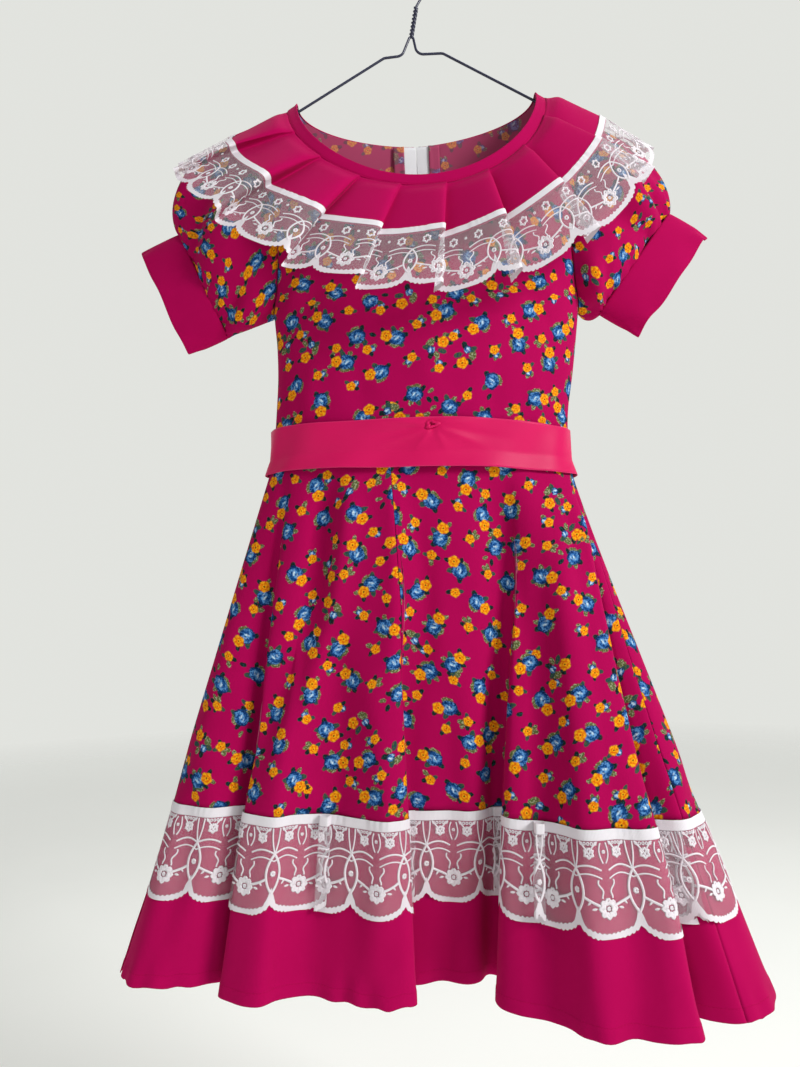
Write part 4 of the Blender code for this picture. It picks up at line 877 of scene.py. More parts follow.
# motifStrokes: (points, width at the middle, tapered) for one repeat; plain leaves the small ones out
def motifStrokes(b, plain=False):
    half = 0.5 * laceCut["repeat"]
    thin = laceCut["collarCord" if plain else "skirtCord"]
    width = laceCut["cordWidth"]
    strokes = []

    def stroke(x, y, wide=width, tapered=False):
        strokes.append((np.stack([x, y], 1), wide * thin, tapered))

    def ring(cx, cy, rx, ry, count=14, wide=width):
        turn = np.linspace(0, 2 * math.pi, count + 1)
        stroke(cx + rx * np.cos(turn), cy + ry * np.sin(turn), wide)

    def line(x0, y0, x1, y1, wide, bow=0.0, tapered=False, count=7):
        part = np.linspace(0, 1, count)
        away = bow * np.sin(math.pi * part)
        stroke(x0 + (x1 - x0) * part + away, y0 + (y1 - y0) * part + away * 0.4, wide, tapered)

    part = np.linspace(0, 1, 15)
    for side in (-1, 1):
        bow = side * 5.4 * np.sin(math.pi * part) ** 0.85
        stroke(half + bow, (0.30 + 0.44 * part) * b, width * 1.15)        # pointed oval over the notch
        arcX = side * (half - (half - 3.0) * part)
        for drop, wide in ((0.0, 1.4), (0.085, 1.1)):
            arcY = (0.33 + drop - 0.075 * np.sin(math.pi * (0.15 + 0.75 * part))) * b
            stroke(arcX, arcY, wide)                                      # double arch between ovals
        fall = np.linspace(0, 1, 9)
        zig = side * (6.0 - 3.0 * fall + 1.1 * np.sin(2.5 * math.pi * fall))
        stroke(zig, (0.40 + 0.19 * fall) * b, 1.3)                        # wavy stem down to the flower
        line(side * 6.0, 0.665 * b, side * (half - 4.6), 0.575 * b, 2.0, 0.8)
        line(side * 8.5, 0.69 * b, side * 12.5, 0.70 * b, 2.0, 0, True, 4)
        line(side * 13.0, 0.62 * b, side * 15.5, 0.66 * b, 1.7, 0, True, 4)
        turn = np.linspace(0, 2 * math.pi, 25)
        petal = 3.0 * (1 + 0.26 * np.cos(6 * turn))
        stroke(side * 0.5 * half + petal * np.sin(turn), 0.125 * b - petal * np.cos(turn), 1.9)
        if plain:
            continue
        line(side * (0.5 * half + 7.0), 0.5, side * 0.5 * half, 0.145 * b, 1.3, -side * 1.0)
        line(side * (0.5 * half - 7.0), 0.5, side * 0.5 * half, 0.145 * b, 1.3, side * 1.0)
        for step in (-5.6, -2.8, 0.0, 2.8, 5.6):
            ring(side * 0.5 * half + step, 1.9, 0.95, 1.1, 6, 0.8)        # small loops under the heading
        line(side * 2.2, 0.02 * b, side * 1.2, 0.235 * b, 1.1, side * 2.0, False, 9)   # hanging drop
        line(side * (half - 3.0), 0.5, half * side, 0.30 * b, 1.2, -side * 0.8)
    ring(0.0, 0.115 * b, 0.9, 0.9, 6, 1.2)
    ring(half, 0.52 * b, 1.25, 1.45, 7, 2.0)
    turn = np.linspace(0, 2 * math.pi, 37)
    for petalSize, wide in ((4.1, 3.0), (5.9, 2.0)):
        petal = petalSize * (1 + 0.16 * np.cos(8 * turn))    # flower in the scallop
        stroke(petal * np.sin(turn), 0.695 * b - petal * 1.05 * np.cos(turn), wide)
    ring(0.0, 0.695 * b, 0.9, 1.0, 6, 1.6)
    return strokes


# onGrid: bilinear value of a grid at float places along and down
def onGrid(grid, along, down):
    along = np.clip(along, 0, grid.shape[0] - 1.001)
    down = np.clip(down, 0, grid.shape[1] - 1.001)
    i, j = np.floor(along).astype(int), np.floor(down).astype(int)
    a, d = (along - i)[..., None], (down - j)[..., None]
    top = grid[i, j] * (1 - a) + grid[i + 1, j] * a
    return top * (1 - d) + (grid[i, j + 1] * (1 - a) + grid[i + 1, j + 1] * a) * d


# cordMesh: an oval ring round each stroke's points, p + side cos w/2 + normal sin h/2, all repeats at once
def cordMesh(name, surface, normals, uSpan, vSpan, plain):
    cut = laceCut
    count, sides = int(uSpan / cut["repeat"]), cut["sides"]
    turn = np.arange(sides) * 2 * math.pi / sides
    allPoints, allFaces, start = [], [], 0
    for line, wide, tapered in motifStrokes(vSpan - cut["heading"], plain):
        u = (np.arange(count)[:, None] + 0.5) * cut["repeat"] + line[None, :, 0]
        v = cut["heading"] + line[None, :, 1] + 0 * u
        along, down = u / uSpan * (surface.shape[0] - 1), v / vSpan * (surface.shape[1] - 1)
        points = onGrid(surface, along, down)
        normal = unit(onGrid(normals, along, down))
        side = unit(np.cross(normal, unit(np.gradient(points, axis=1))))
        steps = line.shape[0]
        size = wide * (np.sin(math.pi * np.linspace(0.06, 0.94, steps)) if tapered else np.ones(steps))
        across = side[:, :, None] * (np.cos(turn) * 0.5)[None, None, :, None] * size[None, :, None, None]
        up = normal[:, :, None] * (np.sin(turn) * 0.5 * cut["cordHeight"])[None, None, :, None]
        number = start + np.arange(count * steps * sides).reshape(count, steps, sides)
        after = np.roll(number, -1, axis=2)
        quads = np.stack([number[:, :-1], number[:, 1:], after[:, 1:], after[:, :-1]], axis=-1)
        allPoints.append((points[:, :, None] + across + up).reshape(-1, 3))
        allFaces.append(quads.reshape(-1, 4)[:, ::-1])
        start += count * steps * sides
    return makeMesh(name, leaned(np.concatenate(allPoints)), np.concatenate(allFaces), [laceCord])


# hangLace: a strip stretched to the scalloped edge, and its cords; surface is [u, v] in equal steps
def hangLace(name, surface, uSpan, vSpan, node, plain=False, narrow=1.0):
    cut = laceCut
    u = np.linspace(0, uSpan, int(uSpan / cut["columnStep"]) + 1)
    bowl, picot = scallopEdge(u, vSpan - cut["heading"])
    bottom = cut["heading"] + bowl + picot
    middle = np.linspace(0.12, 0.9, cut["rows"] - 6)
    part = np.concatenate([np.linspace(0, 0.12, 3)[:-1], middle, (0.93, 0.955, 0.98, 1.0)])
    v = part[None] * bottom[:, None]
    along = (u / uSpan * (surface.shape[0] - 1))[:, None] + 0 * v
    grid = onGrid(surface, along, v / vSpan * (surface.shape[1] - 1))
    flat = np.stack([u[:, None] * mm + 0 * v, v * mm], axis=-1)
    aside = np.abs(np.mod(u, cut["repeat"]) - 0.5 * cut["repeat"])
    peak = (0.5 * cut["repeat"] - aside)[:, None] + 0 * v
    values = {"edge": bottom[:, None] - v, "head": v * narrow, "peak": peak}
    crimp = np.sin(u / 1.3 + 3 * np.sin(u / 7.0)) + np.sin(u / 2.9 + 2 * np.sin(u / 17.0))
    crimp = crimp * (0.5 + 0.5 * np.sin(u / 37.0)) * cut["crimp"]
    grid = grid + gridNormals(grid) * (crimp[:, None] * smooth(-v, -12, -2))[..., None]
    strip = makeSheet(name, grid, [collarNet if plain else laceNet], 0, flat, values=values)
    cords = cordMesh(name + "Cords", surface, gridNormals(surface), uSpan, vSpan, plain)
    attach(cords, "dress")
    settle(strip, [node], grid)


# lengthAlong: running length of a path of points
def lengthAlong(points):
    return np.concatenate([[0], np.cumsum(np.linalg.norm(np.diff(points, axis=0), axis=-1))])


# makeCollarLace: on the flounce's own surface past its edge, columns a millimetre apart along one row
def makeCollarLace():
    cut = collarCut
    at = np.linspace(0, pleatRows - 1, (pleatRows - 1) * 24 + 1)
    lengths = np.linspace(cut["laceFrom"], cut["laceTo"] + 1.0, 26)
    length = lengthAlong(collarSurface(at, lengths)[:, 12])
    even = np.arange(0, length[-1], 1.0)
    surface = collarSurface(np.interp(even, length, at), lengths)
    lift = np.exp(-((lengths - cut["laceFrom"]) / 9.0) ** 2)[None, :, None]
    surface = surface + gridNormals(surface) * (0.55 + 0.25 * lift)
    depth = lengths[-1] - lengths[0]
    hangLace("collarLace", surface, even[-1], depth, "collar_lace", True, 1.3)


makeCollarLace()
print("collar lace made")


# Sleeves and cuffs: where the cuff's ring lies in the front view, and how far the puff bulges
sleeveCut = {
    "left": {
        "side": -1, "cuffX": -204.5, "cuffZ": -326.5, "topX": -22.5, "topZ": 52.0, "outX": -36.0,
        "outZ": -17.0,
        "headOut": 18.0, "headRise": 20.0, "mouthOut": 34.0, "mouthRise": 2.0,
    },
    "right": {
        "side": 1, "cuffX": 199.5, "cuffZ": -317.0, "topX": 35.0, "topZ": 46.0, "outX": 34.5,
        "outZ": -22.5,
        "headOut": 16.0, "headRise": 10.0, "mouthOut": 28.0, "mouthRise": 4.0,
    },
    "frontBulge": 22.0, "backBulge": 18.0, "cuffDepth": 15.0, "wall": 0.8, "cuffWall": 1.7, "rows": 46,
    "ringSteps": 60, "cuffSteps": 120, "cuffFrom": 0.02, "topShare": 1.3, "foldDepth": 4.6,
    "foldFactor": 1.7,
    # small gathers: depth, how many round the arm, how unevenly, and how far they reach
    "headGathers": (1.3, 34, 2, 0.10), "cuffGathers": (1.1, 27, 2.2, 0.12),
    # the cuff: least lift, swell, press at top and bottom, waves of its edge outward and downward
    "cuffLift": 0.7, "cuffSwell": 0.9, "cuffPress": 1.2, "edgeWave": 0.8, "edgeDrop": 1.2,
}
# Folds of each sleeve: turn round the arm from its top over the front, how far along, width, depth, lean
sleeveFolds = {
    "left": ((1.1, 0.55, 0.20, -4.5, 0.5), (1.7, 0.35, 0.16, 2.6, -0.4), (2.3, 0.62, 0.20, -3.6, 0.7),
             (0.5, 0.40, 0.18, 2.4, 0.3), (4.1, 0.5, 0.22, -3.2, 0.4), (5.0, 0.4, 0.2, 2.4, -0.5)),
    "right": ((0.9, 0.60, 0.17, -5.5, -0.7), (1.45, 0.62, 0.17, -5.0, -0.5), (1.2, 0.35, 0.20, 3.0, 0.3),
              (2.2, 0.55, 0.22, -3.8, 0.6), (4.2, 0.5, 0.22, -3.4, -0.4), (5.1, 0.45, 0.2, 2.6, 0.5)),
}


# armholeRing: the armhole's edge from the shoulder over the front to the underarm and up behind
def armholeRing(side, count):
    down = armholeLevels(count)[::-1]
    front = bodyPoint(side * sideAngle(down), down, -1)
    back = bodyPoint(side * sideAngle(down[::-1]), down[::-1], 1)
    ring = np.concatenate([front, back[1:-1]])
    ring[0, 1] = 0.0
    ring[..., 0] += side * 0.5
    return ring


# cuffRing: middle + top * cos(turn) + out * share, y = -depth sin(turn)
def cuffRing(size, turn, out):
    x = size["cuffX"] + size["topX"] * np.cos(turn) + size["outX"] * out
    z = size["cuffZ"] + size["topZ"] * np.cos(turn) + size["outZ"] * out
    return np.stack([x, -sleeveCut["cuffDepth"] * np.sin(turn) + 0 * x, z], axis=-1)


# makeSleeve: cubic Bezier from the armhole to the cuff, (1-t)^3 a + 3(1-t)^2 t b + 3(1-t) t^2 c + t^3 d
def makeSleeve(key, node, cuffNode):
    cut, size = sleeveCut, sleeveCut[key]
    side = size["side"]
    start = armholeRing(side, cut["ringSteps"])
    turn = np.arange(len(start)) * 2 * math.pi / len(start)
    end = cuffRing(size, turn, cut["cuffFrom"])
    top = (0.5 + 0.5 * np.cos(turn)) ** cut["topShare"]
    low = (0.5 - 0.5 * np.cos(turn)) ** cut["topShare"]
    front = np.sin(turn)
    bulge = np.where(front > 0, cut["frontBulge"], cut["backBulge"]) * front
    third = (end - start) / 3
    head, mouth = (
        np.stack([
            side * (size[outward] * top + more * np.abs(front)), share * bulge, size[rise] * top - 4 * low,
        ], -1)
        for outward, rise, more, share in (
            ("headOut", "headRise", 6, -1), ("mouthOut", "mouthRise", -2, -0.95),
        ))
    part = np.linspace(0, 1, cut["rows"])[None, :, None]
    grid = (1 - part) ** 3 * start[:, None] + 3 * (1 - part) ** 2 * part * (start + third + head)[:, None]
    grid = grid + 3 * (1 - part) * part**2 * (end - third + mouth)[:, None] + part**3 * end[:, None]
    t, p = turn[:, None], part[..., 0]
    folds = np.cos(5 * t + 0.9 * side) * np.sin(math.pi * p) * cut["foldDepth"]
    for at, reach, width, depth, leaning in sleeveFolds[key]:
        off = np.angle(np.exp(1j * (t - at - leaning * (p - 0.6))))
        lengthwise = np.exp(-(((p - reach - 0.12) / 0.3) ** 2))
        folds = folds + cut["foldFactor"] * depth * np.exp(-((off / width) ** 2)) * lengthwise
    depth, number, uneven, reach = cut["headGathers"]
    gather = depth * np.cos(number * t + uneven * np.sin(3 * t)) * np.exp(-p / reach)
    gather = gather * smooth(p, 0, 0.03) * (0.4 + 0.6 * top[:, None])
    depth, number, uneven, reach = cut["cuffGathers"]
    atCuff = depth * np.cos(number * t + uneven * np.sin(2 * t)) * np.exp(-(1 - p) / reach)
    gather = gather + atCuff * (1 - smooth(p, 0.97, 1))
    grid = grid + gridNormals(grid, True, True) * (folds + gather)[..., None]
    flat = flatMap(grid, True, shift=(1.7 + side, 0.8))
    name = "sleeve" + key.capitalize()
    sleeve = makeSheet(name, grid, [clothPrint, clothInside], cut["wall"], flat, True, True)
    settle(sleeve, [node], grid)

    turn = np.arange(cut["cuffSteps"]) * 2 * math.pi / cut["cuffSteps"]
    t = turn[:, None]
    out = np.concatenate([np.linspace(-0.01, 0.94, 22), np.linspace(0.955, 1.0, 5)])
    grid = np.stack([cuffRing(size, turn, share) for share in out], axis=1)
    swell = cut["cuffLift"] + cut["cuffSwell"] * np.sin(math.pi * np.clip(out, 0, 1)) ** 0.5
    swell = swell + 0.5 * np.sin(3 * t + side) * out
    swell = swell + cut["edgeWave"] * np.sin(9 * t + 2 * np.sin(2 * t)) * smooth(out, 0.5, 1.0)[None]
    press = cut["cuffPress"] * np.abs(np.cos(t)) ** 8 * out[None]
    grid = grid + gridNormals(grid, True, True) * (swell - press)[..., None]
    grid[..., 2] -= cut["edgeDrop"] * (np.sin(4 * t + side) + np.sin(7 * t)) * smooth(out, 0.6, 1.0)[None]
    flat = flatMap(grid, True)
    flat[..., 1] = (1 - out[None]) * math.hypot(size["outX"], size["outZ"]) * mm
    cuff = makeSheet("cuff" + key.capitalize(), grid, [clothEdge], cut["cuffWall"], flat, True, True)
    settle(cuff, [cuffNode], grid)


makeSleeve("left", "sleeve_left", "cuff_left")
makeSleeve("right", "sleeve_right", "cuff_right")
print("sleeves made")


# Skirt: a row for each crest, valley or folded edge of the hem, from the left side over front and back:
# turn in degrees, x, y, z
skirtFolds = (
    (-90, -277, 14, -948), (-82, -260, -7, -949), (-75, -225, -10, -950), (-68, -194, -2, -950),
    (-64.5, -179, 9, -951), (-62, -169, 7, -951), (-60, -171, -3, -951), (-57.5, -184, -9, -952),
    (-55, -185, -18, -953), (-51, -170, -27, -954), (-45, -150, -31, -955), (-40, -136, -21, -954),
    (-33, -113, -12, -955), (-25, -84, -19, -956), (-18, -52, -29, -957), (-13.5, -28, -30, -956),
    (-12, -20, -22, -956), (-10.5, -25, -13, -955), (-8.5, -35, -6, -954), (-6.5, -37, 3, -954),
    (-3.5, -26, 9, -953), (8, 6, 8, -953), (20, 34, 9, -951), (27, 46, 19, -951),
    (31, 56, 18, -951), (33.5, 56, 6, -951), (35.5, 48, -10, -951), (37.5, 43, -27, -951),
    (39.5, 46, -39, -952), (43, 60, -49, -953), (49, 84, -54, -954), (54, 97, -67, -954),
    (59, 114, -83, -955), (65, 146, -80, -954), (71, 173, -87, -954), (74.5, 188, -86, -953),
    (76, 191, -76, -953), (78, 182, -67, -952), (80, 173, -60, -952), (82, 174, -50, -952),
    (84.5, 188, -48, -952), (87, 206, -57, -952), (91, 232, -61, -951), (97, 262, -42, -949),
    (103, 276, -13, -948), (109, 272, 17, -948), (116, 250, 38, -949), (124, 220, 46, -950),
    (133, 186, 37, -951), (143, 152, 50, -952), (155, 112, 57, -953), (167, 68, 46, -954),
    (180, 18, 58, -954), (191, -24, 60, -954), (202, -64, 49, -954), (213, -104, 58, -953),
    (224, -146, 60, -952), (235, -184, 48, -951), (246, -220, 56, -950), (257, -253, 46, -949),
    (264, -271, 31, -948),
)
skirtCut = {
    "seamRows": (0, 16, 42, 52), "zipRow": 52, "steps": 9, "bandHeight": 146.0, "laceHeight": 75.0,
    "wall": 0.8,
    "printRows": 44, "bandRows": 26, "zipEnd": -574.0, "zipGap": 5.0, "hemFold": 12.0, "rowGap": 0.0006,
    # beside a seam: gap, depth and columns of the tuck; height of the hem's fold and of the soft waves
    "seamGap": 0.12, "tuck": 0.35, "tuckColumns": 1.2, "foldHeight": 0.5, "wave": 1.5,
    # puckers of the hem: three wavelengths, out, down, reach upward and length of their fading ends
    "ripple": (5.2, 19.0, 47.0), "rippleOut": 1.5, "rippleDown": 0.9, "rippleReach": 32, "rippleEnds": 12,
    "frontCreases": (
        (-66, -470, -146, -800, 12, 6.5), (-86, -470, -163, -780, 14, -10.0),
        (-30, -518, -44, -700, 12, 4.4),
        (78, -490, 116, -960, 20, 6.0), (46, -490, 66, -960, 18, -7.0), (112, -520, 160, -680, 9, 3.6),
        (-190, -760, -225, -930, 14, 4.0), (-86, -640, -112, -900, 14, -4.6),
        (-52, -700, -62, -940, 12, 4.4),
        (10, -640, 18, -900, 16, 4.2), (146, -760, 172, -940, 13, 4.0),
        (224, -780, 252, -940, 14, -4.0), (-216, -760, -240, -930, 12, -3.6),
        (-12, -560, -16, -720, 9, -2.6),
    ),
}
skirtDrop = -bodiceCut["waist"] + skirtFolds[skirtCut["zipRow"]][3]
bandTop = 1 - skirtCut["bandHeight"] / abs(skirtDrop)
laceEnd = bandTop + skirtCut["laceHeight"] / abs(skirtDrop)


# skirtOutline: closed cubic through the fold table, knots spaced by the root of their distance
def skirtOutline(at):
    values = np.array(skirtFolds, float)
    turn = np.array([[360.0, 0, 0, 0]])
    values = np.concatenate([values[-1:] - turn, values, values[:2] + turn])
    gaps = np.sqrt(np.linalg.norm(np.diff(values[:, 1:], axis=0), axis=1))
    slopes = np.diff(values, axis=0) / gaps[:, None]
    ahead, behind = gaps[1:, None], gaps[:-1, None]
    tangents = (slopes[:-1] * ahead + slopes[1:] * behind) / (ahead + behind)
    index = np.clip(np.floor(at).astype(int), 0, len(tangents) - 2)
    part = (at - index)[:, None]
    gap = gaps[index + 1][:, None]
    whole = (2 * part**3 - 3 * part**2 + 1) * values[index + 1]
    whole = whole + (part**3 - 2 * part**2 + part) * gap * tangents[index]
    whole = whole + (3 * part**2 - 2 * part**3) * values[index + 2]
    return whole + (part**3 - part**2) * gap * tangents[index + 1]


# skirtSurface: waist ring * (1 - share) + hem outline * share, waves and creases along the normal
def skirtSurface(at, share):
    outline = skirtOutline(at)
    angle = np.radians(outline[:, 0])
    level = np.array(bodiceCut["waist"])
    depth = np.where(np.cos(angle) > 0, bodySize(level, "frontDepth"), bodySize(level, "backDepth"))
    waist = np.stack([
        bodySize(level, "centre") + bodySize(level, "halfWidth") * np.sin(angle), -depth * np.cos(angle),
        bodiceCut["waist"] - bodiceCut["waistGap"] + 0 * angle], axis=1)
    share = np.asarray(share, float)[None, :, None]
    grid = waist[:, None] * (1 - share) + outline[:, None, 1:] * share
    p = share[..., 0]
    wave = np.sin(4.7 * outline[:, :1] / 13.0 + 2.3 * p) * np.sin(outline[:, :1] / 31.0 + 1.0)
    wave = skirtCut["wave"] * wave * p * smooth(p, 0.05, 0.5)
    behind = smooth(-np.cos(angle), -0.1, 0.1)[:, None]
    for way, where in ((1, 1 - behind), (-1, behind)):
        creases = creased(way * grid[..., 0], grid[..., 2], skirtCut["frontCreases"])
        wave = wave + creases * where * smooth(p, 0.0, 0.12)
    return grid + gridNormals(grid) * wave[..., None]


# hemRipple: puckers of the turned hem, an uneven sine that dies away upward, and their rise and fall
def hemRipple(edge, share):
    cut = skirtCut
    short, slow, long = cut["ripple"]
    along = lengthAlong(edge) + edge[0, 0]
    uneven = np.sin(along / short + 1.9 * np.sin(along / slow))
    uneven = uneven * (0.55 + 0.45 * np.sin(along / long + 1.0))
    ends = smooth(along, along[0], along[0] + cut["rippleEnds"])
    ends = ends * (1 - smooth(along, along[-1] - cut["rippleEnds"], along[-1]))
    near = smooth(share, 1 - cut["rippleReach"] / abs(skirtDrop), 1.0)[None]
    out = cut["rippleOut"] * uneven * ends
    return out[:, None] * near, (cut["rippleDown"] * np.roll(uneven, 5) * ends)[:, None] * near


# makeSkirt: the print gores and the band below them; each gore's edge is drawn in to its seam
def makeSkirt():
    cut = skirtCut
    count = len(skirtFolds)
    seams = [*cut["seamRows"], count]
    names = (("FrontLeft", "front_left"), ("FrontRight", "front_right"),
             ("BackRight", "back_right"), ("BackLeft", "back_left"))
    fold = cut["hemFold"] / abs(skirtDrop)
    printShare = np.linspace(0, bandTop - cut["rowGap"], cut["printRows"])
    bandShare = np.concatenate([
        np.linspace(bandTop + cut["rowGap"], 1 - fold, cut["bandRows"]), [1 - 0.8 * fold],
        np.linspace(1 - 0.5 * fold, 1, 5)])
    for (name, node), first, last in zip(names, seams[:-1], seams[1:]):
        steps = (last - first) * cut["steps"]
        at = np.linspace(first, last, steps + 1)
        at = np.where(at >= count, at - 1e-6, at)
        fromSeam = np.minimum(np.arange(steps + 1), steps - np.arange(steps + 1))
        tuck = cut["tuck"] * np.exp(-((fromSeam / cut["tuckColumns"]) ** 2))[:, None]
        for isBand, share in ((False, printShare), (True, bandShare)):
            grid = skirtSurface(at, share)
            normals = gridNormals(grid)
            hem = isBand * cut["foldHeight"] * smooth(share, 1 - fold * 1.05, 1 - fold * 0.9)[None]
            grid = grid + normals * (hem - tuck)[..., None]
            if isBand:
                ripple, rise = hemRipple(grid[:, -1], share)
                grid = grid + normals * ripple[..., None]
                grid[..., 2] += rise
            zipHalf = 0.5 * cut["zipGap"] * (share * abs(skirtDrop) < bodiceCut["waist"] - cut["zipEnd"])
            zipHalf = np.maximum(zipHalf, cut["seamGap"])
            gaps = [
                np.where(row == cut["zipRow"], zipHalf, cut["seamGap"])[:, None] for row in (first, last)]
            grid[0] += unit(grid[1] - grid[0]) * gaps[0]
            grid[-1] -= unit(grid[-1] - grid[-2]) * gaps[1]
            flat = flatMap(grid, shift=(0.31 * first, 0.4))
            if isBand:
                flat[..., 1] = flat[..., 1].max(axis=1, keepdims=True) - flat[..., 1]
                piece = makeSheet("hemBand" + name, grid, [clothHem], cut["wall"], flat)
                settle(piece, ["hem_band_" + node], grid)
            else:
                piece = makeSheet("skirt" + name, grid, [clothPrint, clothInside], cut["wall"], flat)
                settle(piece, ["skirt_" + node], grid)


# Tucks of the skirt's lace: place along the hem in millimetres from the left side seam, and width
laceTucks = (
    (96, 15), (196, 12), (300, 20), (392, 14), (470, 12), (640, 22), (760, 14), (905, 18), (1060, 14),
    (1200, 16),
)
# How far each layer of a tuck lies out, the run that it eases back over, and rows of the lace's surface
tuckCut = {"middleOut": 1.1, "topOut": 2.0, "easeRun": 26, "rows": 26, "columns": 1500}


# makeSkirtLace: lace length u -> place s; in a tuck u runs on, back and on again, each layer further out
def makeSkirtLace():
    cut = tuckCut
    count = len(skirtFolds)
    fineAt = np.linspace(0, count - 1e-6, count * 60)
    length = lengthAlong(skirtSurface(fineAt, np.linspace(bandTop, laceEnd, 3))[:, 1])
    us, places, lifts = [0.0], [0.0], [0.0]
    for place, width in laceTucks:
        end = place + width
        steps = (end, place, end, end + cut["easeRun"])
        for step, lift in zip(steps, (0.0, cut["middleOut"], cut["topOut"], 0.0)):
            us.append(us[-1] + abs(step - places[-1]))
            places.append(step)
            lifts.append(lift)
    us.append(us[-1] + length[-1] - places[-1])
    places.append(length[-1])
    lifts.append(0.0)
    u = np.arange(0, us[-1], 1.0)
    place = np.interp(u, us, places)
    place[1:-1] = np.convolve(place, np.ones(3) / 3, "valid")
    lift = np.interp(u, us, lifts)
    lift[2:-2] = np.convolve(lift, np.ones(5) / 5, "valid")
    share = np.linspace(bandTop - 0.004, laceEnd + 0.003, cut["rows"])
    surface = skirtSurface(np.interp(place, length, fineAt), share)
    base = skirtSurface(np.interp(np.linspace(0, length[-1], cut["columns"]), length, fineAt), share)
    column = (place / length[-1] * (cut["columns"] - 1))[:, None] + 0 * share[None]
    normal = onGrid(gridNormals(base), column, np.arange(cut["rows"])[None] + 0.0 * u[:, None])
    down = np.linspace(0, 1, cut["rows"])[None]
    flare = np.linspace(0.7, 1.5, cut["rows"])[None]
    out = 0.6 + lift[:, None] * flare + 0.35 * np.sin(u / 9.0)[:, None] * down ** 2
    surface = surface + unit(normal) * out[..., None]
    vSpan = np.linalg.norm(surface[:, -1] - surface[:, 0], axis=-1).mean()
    hangLace("skirtLace", surface, u[-1], vSpan, "skirt_lace")


# Ribbon: a band round the waist with a tacked knot in front and creases running from it
ribbonCut = {
    "top": -472.0, "bottom": -514.0, "clear": 2.2, "flare": 0.30, "wall": 0.5, "columns": 560, "rows": 26,
    # the knot's x and z and the row nearest to it, its dent, and the band's lean and soft waves
    "knot": (4.0, -479.0), "knotRow": 4, "dent": 1.4, "dentWide": 6.0, "lean": 2.6, "waves": (0.7, 0.5),
    # creases run from the knot: angle in degrees, length, width, depth
    "rays": (
        (200, 70, 3.0, 0.9), (188, 95, 3.6, -0.8), (172, 60, 2.6, 0.7), (340, 60, 3.0, 0.9),
        (352, 85, 3.4, -0.7), (8, 50, 2.4, 0.6), (232, 34, 2.6, 0.7), (300, 30, 2.6, 0.7),
    ),
}
knotCut = {
    "ring": 2.6, "thick": 1.5, "wide": 1.5, "tall": 0.9, "deep": 0.8, "out": 1.2, "steps": 32, "sides": 16,
}


# ringFaces: quads of rings that close both ways, numbered [ring, side] in their last two axes
def ringFaces(number):
    across, after = np.roll(number, -1, axis=-2), np.roll(number, -1, axis=-1)
    return across, np.roll(across, -1, axis=-1), after


# makeKnot: a lumpy ring of satin, radius + thick * cos(ring) round the turn, set on a point of the band
def makeKnot(knotAt):
    cut = knotCut
    turn = np.linspace(0, 2 * math.pi, cut["steps"] + 1)[:-1][:, None]
    ring = np.linspace(0, 2 * math.pi, cut["sides"] + 1)[:-1][None]
    radius = cut["ring"] + 0.7 * np.cos(3 * turn) + 0.3 * np.sin(5 * turn)
    thick = cut["thick"] + 0.4 * np.sin(2 * turn)
    kx = (radius + thick * np.cos(ring)) * np.cos(turn) * cut["wide"]
    kz = (radius + thick * np.cos(ring)) * np.sin(turn) * cut["tall"]
    ky = -cut["out"] - thick * np.sin(ring) * cut["deep"] + 0 * kx
    number = np.arange(cut["steps"] * cut["sides"]).reshape(cut["steps"], cut["sides"])
    across, both, after = ringFaces(number)
    faces = np.stack([number, across, both, after], axis=-1).reshape(-1, 4)[:, ::-1]
    flat = np.stack([number.ravel() % cut["sides"], number.ravel() // cut["sides"]], axis=-1) * mm
    points = leaned(np.stack([kx, ky, kz], axis=-1) + knotAt)
    knot = makeMesh("ribbonKnot", points, faces, [satin], flat[faces.ravel()])
    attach(knot, "dress")
    return knot


